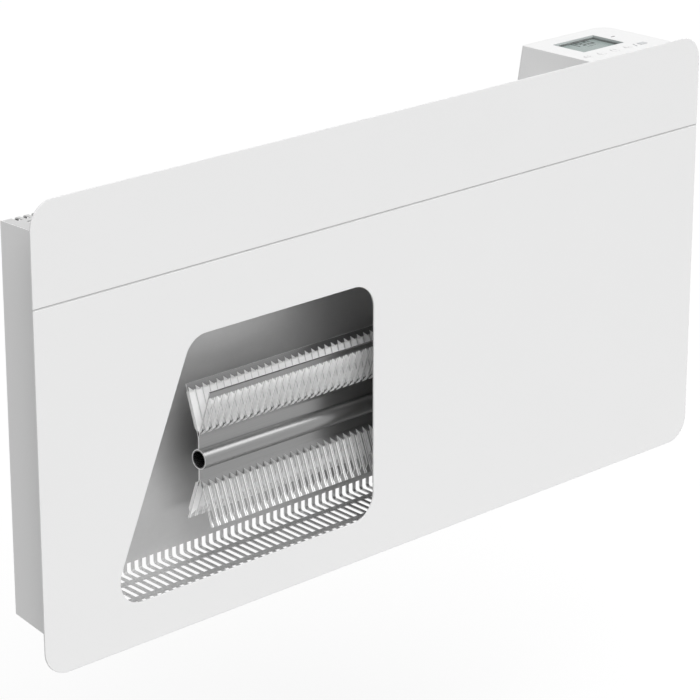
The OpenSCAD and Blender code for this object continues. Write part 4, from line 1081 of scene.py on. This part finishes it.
    def _key_ink(self) -> None:
        """Fills the symbols cut into the round keys with grey ink."""
        r, w, g, y = self.symbol / 2, self.stroke, self.gap, self.key_y
        finish = Moulding("grey_key_ink", self.print_grey, roughness=0.5, grain=0.02)
        for i, key in enumerate(Key):
            x = self.first_key_x + i * self.key_pitch
            across = bar(x, y, 2 * r - 2 * g, w - 2 * g)
            if key is Key.POWER:
                open_by = math.degrees(math.asin(w / (r - w))) + self.power_opening
                shapes = [
                    arc_band(x, y, r - g, r - w + g, 90 + open_by, 450 - open_by),
                    bar(x, y + r / 2, w - 2 * g, r - 2 * g),
                ]
            elif key is Key.MINUS:
                shapes = [across]
            elif key is Key.PLUS:
                arm = r - w / 2 - g
                shapes = [across]
                shapes += [bar(x, y + s * (w / 2 + arm / 2), w - 2 * g, arm - g) for s in (-1, 1)]
            else:
                shapes = [bar(x, y + 2 * k * w, 2 * r - 2 * g, w - 2 * g) for k in (-1, 0, 1)]
            mesh = bmesh.new()
            for shape in shapes:
                add_prism(mesh, shape, self.key_floor, self.key_floor + self.ink)
            finish_mesh(mesh, f"{key.value}_ink", finish, key.value)

    def _slash(self) -> None:
        """Prints the slash between the last round key and the grey key."""
        mesh = bmesh.new()
        x, y, w = self.slash_x, self.key_y, self.slash_stroke / 2
        lean, half = self.slash_lean, self.slash_half
        front = [(x - lean - w, y - half), (x - lean + w, y - half)]
        outline = front + [(x + lean + w, y + half), (x + lean - w, y + half)]
        add_prism(mesh, outline, self.top, self.top + self.ink)
        finish = Moulding("printed_slash_ink", self.print_grey, roughness=0.5, grain=0.02)
        finish_mesh(mesh, "printed_slash", finish, HEATER)


@dataclass
class Electronics:
    """The boards in the control box, what is soldered to them, and the leads."""

    mask: Colour = (0.02, 0.13, 0.055)
    copper: Colour = (0.05, 0.22, 0.09)

    def dress(self) -> None:
        """Gives each electrical piece its moulding, tape or mask."""
        dress(BoardMask("solder_mask", self.mask, self.copper), ["display_board", "power_board"])
        dress(Moulding("black_moulding", (0.025, 0.025, 0.027)), ["tact_switches", "board_header", "relay"])
        dress(Moulding("yellow_winding_tape", (0.66, 0.42, 0.06), roughness=0.3), ["transformer"])
        dress(Moulding("green_nylon", (0.05, 0.25, 0.10)), ["terminal_block"])
        dress(Moulding("natural_nylon", (0.74, 0.72, 0.66), roughness=0.5), ["board_pillars"])
        dress(LeadCover("silicone_lead_cover", (0.42, 0.05, 0.04)), ["internal_leads"])


@dataclass
class WallMount:
    """The wall bracket, its two spring latches and the distance pieces."""

    steel: Colour = (0.52, 0.53, 0.54)
    latch: Colour = (0.55, 0.52, 0.45)

    def dress(self) -> None:
        """Gives the bracket galvanised sheet and the latches oiled spring strip."""
        dress(SheetMetal("galvanised_bracket", self.steel, lines=Rolling.ALONG_Z), ["wall_bracket"])
        dress(
            SheetMetal("spring_strip", self.latch, roughness=0.3, lines=Rolling.ALONG_Z, spangle=0.02),
            ["latch_left", "latch_right"],
        )
        dress(TurnedMetal("pivot_steel", (0.60, 0.60, 0.62)), ["latch_pivots"])
        rubber = Moulding("distance_rubber", (0.035, 0.035, 0.037), roughness=0.62, grain=0.2)
        dress(rubber, ["wall_spacers"])


# ---------------------------------------------------------------- floor, light and camera


@dataclass
class Studio:
    """A pale floor, a white world, two soft lamps and the camera."""

    floor_z: float = -0.685
    floor_half: float = 9.0
    floor_cells: int = 12
    floor_seen: Colour = (0.96, 0.96, 0.96)
    floor_bounce: Colour = (0.45, 0.45, 0.45)
    floor_white: float = 0.82
    ambient: float = 0.40
    sun_from: tuple[float, float, float] = (-0.20, -0.57, 0.73)
    sun_strength: float = 2.45
    sun_angle: float = 40.0
    fill_from: tuple[float, float, float] = (0.62, -0.36, 0.69)
    fill_strength: float = 0.46
    fill_angle: float = 30.0
    camera_at: tuple[float, float, float] = (-1.98208, -2.10996, 0.97507)
    camera_down: float = 19.53
    camera_right: float = 43.68
    lens: float = 157.6
    clip_end: float = 50.0

    def build(self) -> None:
        """Builds the floor, the world, the lamps and the camera."""
        self._floor()
        self._world()
        self._lamp("soft_sun", self.sun_from, self.sun_strength, self.sun_angle)
        self._lamp("soft_fill", self.fill_from, self.fill_strength, self.fill_angle)
        self._camera()
        bpy.context.scene.view_settings.view_transform = "Standard"

    @staticmethod
    def _seen(graph: Graph) -> Value:
        """Returns 1 for rays whose eye sees the background, straight, mirrored or through glass.

        Args:
            graph: The node tree that needs it.
        """
        path = graph.node("ShaderNodeLightPath", {}, {})
        rays = ("Is Camera Ray", "Is Glossy Ray", "Is Transmission Ray")
        camera, glossy, through = (Value(graph, path.outputs[ray]) for ray in rays)
        return (camera + glossy + through).clamped()

    def _floor(self) -> None:
        """Lays the floor: pale where it is seen, plainer where it only throws light back."""
        mesh = bmesh.new()
        cells = self.floor_cells
        step = 2 * self.floor_half / cells
        grid = [
            [
                mesh.verts.new((i * step - self.floor_half, j * step - self.floor_half, self.floor_z))
                for i in range(cells + 1)
            ]
            for j in range(cells + 1)
        ]
        for j in range(cells):
            for i in range(cells):
                mesh.faces.new((grid[j][i], grid[j][i + 1], grid[j + 1][i + 1], grid[j + 1][i]))
        data = bpy.data.meshes.new("floor")
        mesh.to_mesh(data)
        mesh.free()
        floor = bpy.data.objects.new("floor", data)
        bpy.context.scene.collection.objects.link(floor)
        s = Shader("pale_floor")
        seen = self._seen(s)
        tint = s.blend(seen, self.floor_bounce, self.floor_seen)
        s.set(Base_Color=tint, Roughness=0.9, Specular_IOR_Level=0.0)
        glow = s.node("ShaderNodeEmission", {}, {"Color": (1.0, 1.0, 1.0), "Strength": 1.0})
        mixed = s.node(
            "ShaderNodeMixShader",
            {},
            {0: seen * self.floor_white, 1: s.surface.outputs["BSDF"], 2: glow.outputs["Emission"]},
        )
        s.feed(s.output.inputs["Surface"], mixed.outputs["Shader"])
        data.materials.append(s.material)

    def _world(self) -> None:
        """Lights the world: white where it is seen, plain ambient light where it is not."""
        world = bpy.data.worlds.new("studio")
        bpy.context.scene.world = world
        world.use_nodes = True
        g = Graph(world.node_tree)
        ambient = g.node("ShaderNodeBackground", {}, {"Color": (1.0, 1.0, 1.0), "Strength": self.ambient})
        white = g.node("ShaderNodeBackground", {}, {"Color": (1.0, 1.0, 1.0), "Strength": 1.0})
        mixed = g.node(
            "ShaderNodeMixShader",
            {},
            {0: self._seen(g), 1: ambient.outputs["Background"], 2: white.outputs["Background"]},
        )
        g.node("ShaderNodeOutputWorld", {}, {"Surface": mixed.outputs["Shader"]})

    @staticmethod
    def _lamp(name: str, source: tuple[float, float, float], strength: float, angle: float) -> None:
        """Hangs one soft lamp.

        Args:
            name: Its name.
            source: The direction that its light comes from.
            strength: Its strength.
            angle: Its width in degrees.
        """
        data = bpy.data.lights.new(name, "SUN")
        data.energy = strength
        data.angle = math.radians(angle)
        lamp = bpy.data.objects.new(name, data)
        lamp.rotation_euler = Vector(source).to_track_quat("Z", "Y").to_euler()
        bpy.context.scene.collection.objects.link(lamp)

    def _camera(self) -> None:
        """Places the camera at the photograph's viewing angle."""
        data = bpy.data.cameras.new("camera")
        data.lens = self.lens
        data.clip_end = self.clip_end
        camera = bpy.data.objects.new("camera", data)
        camera.location = self.camera_at
        camera.rotation_euler = (math.radians(90 - self.camera_down), 0.0, -math.radians(self.camera_right))
        bpy.context.scene.collection.objects.link(camera)
        bpy.context.scene.camera = camera


def main() -> None:
    """Dresses and builds the heater piece by piece, then sets the studio round it."""
    logging.basicConfig(level=logging.INFO, format="%(name)s: %(message)s")
    Studio().build()
    for part in (FrontPanel(), Casing(), Element(), Electronics(), WallMount()):
        part.dress()
        LOG.info("%s is dressed", type(part).__name__)
    box = ControlBox()
    box.dress()
    box.build()
    LOG.info("%s is dressed and printed", type(box).__name__)


if __name__ == "__main__":
    main()
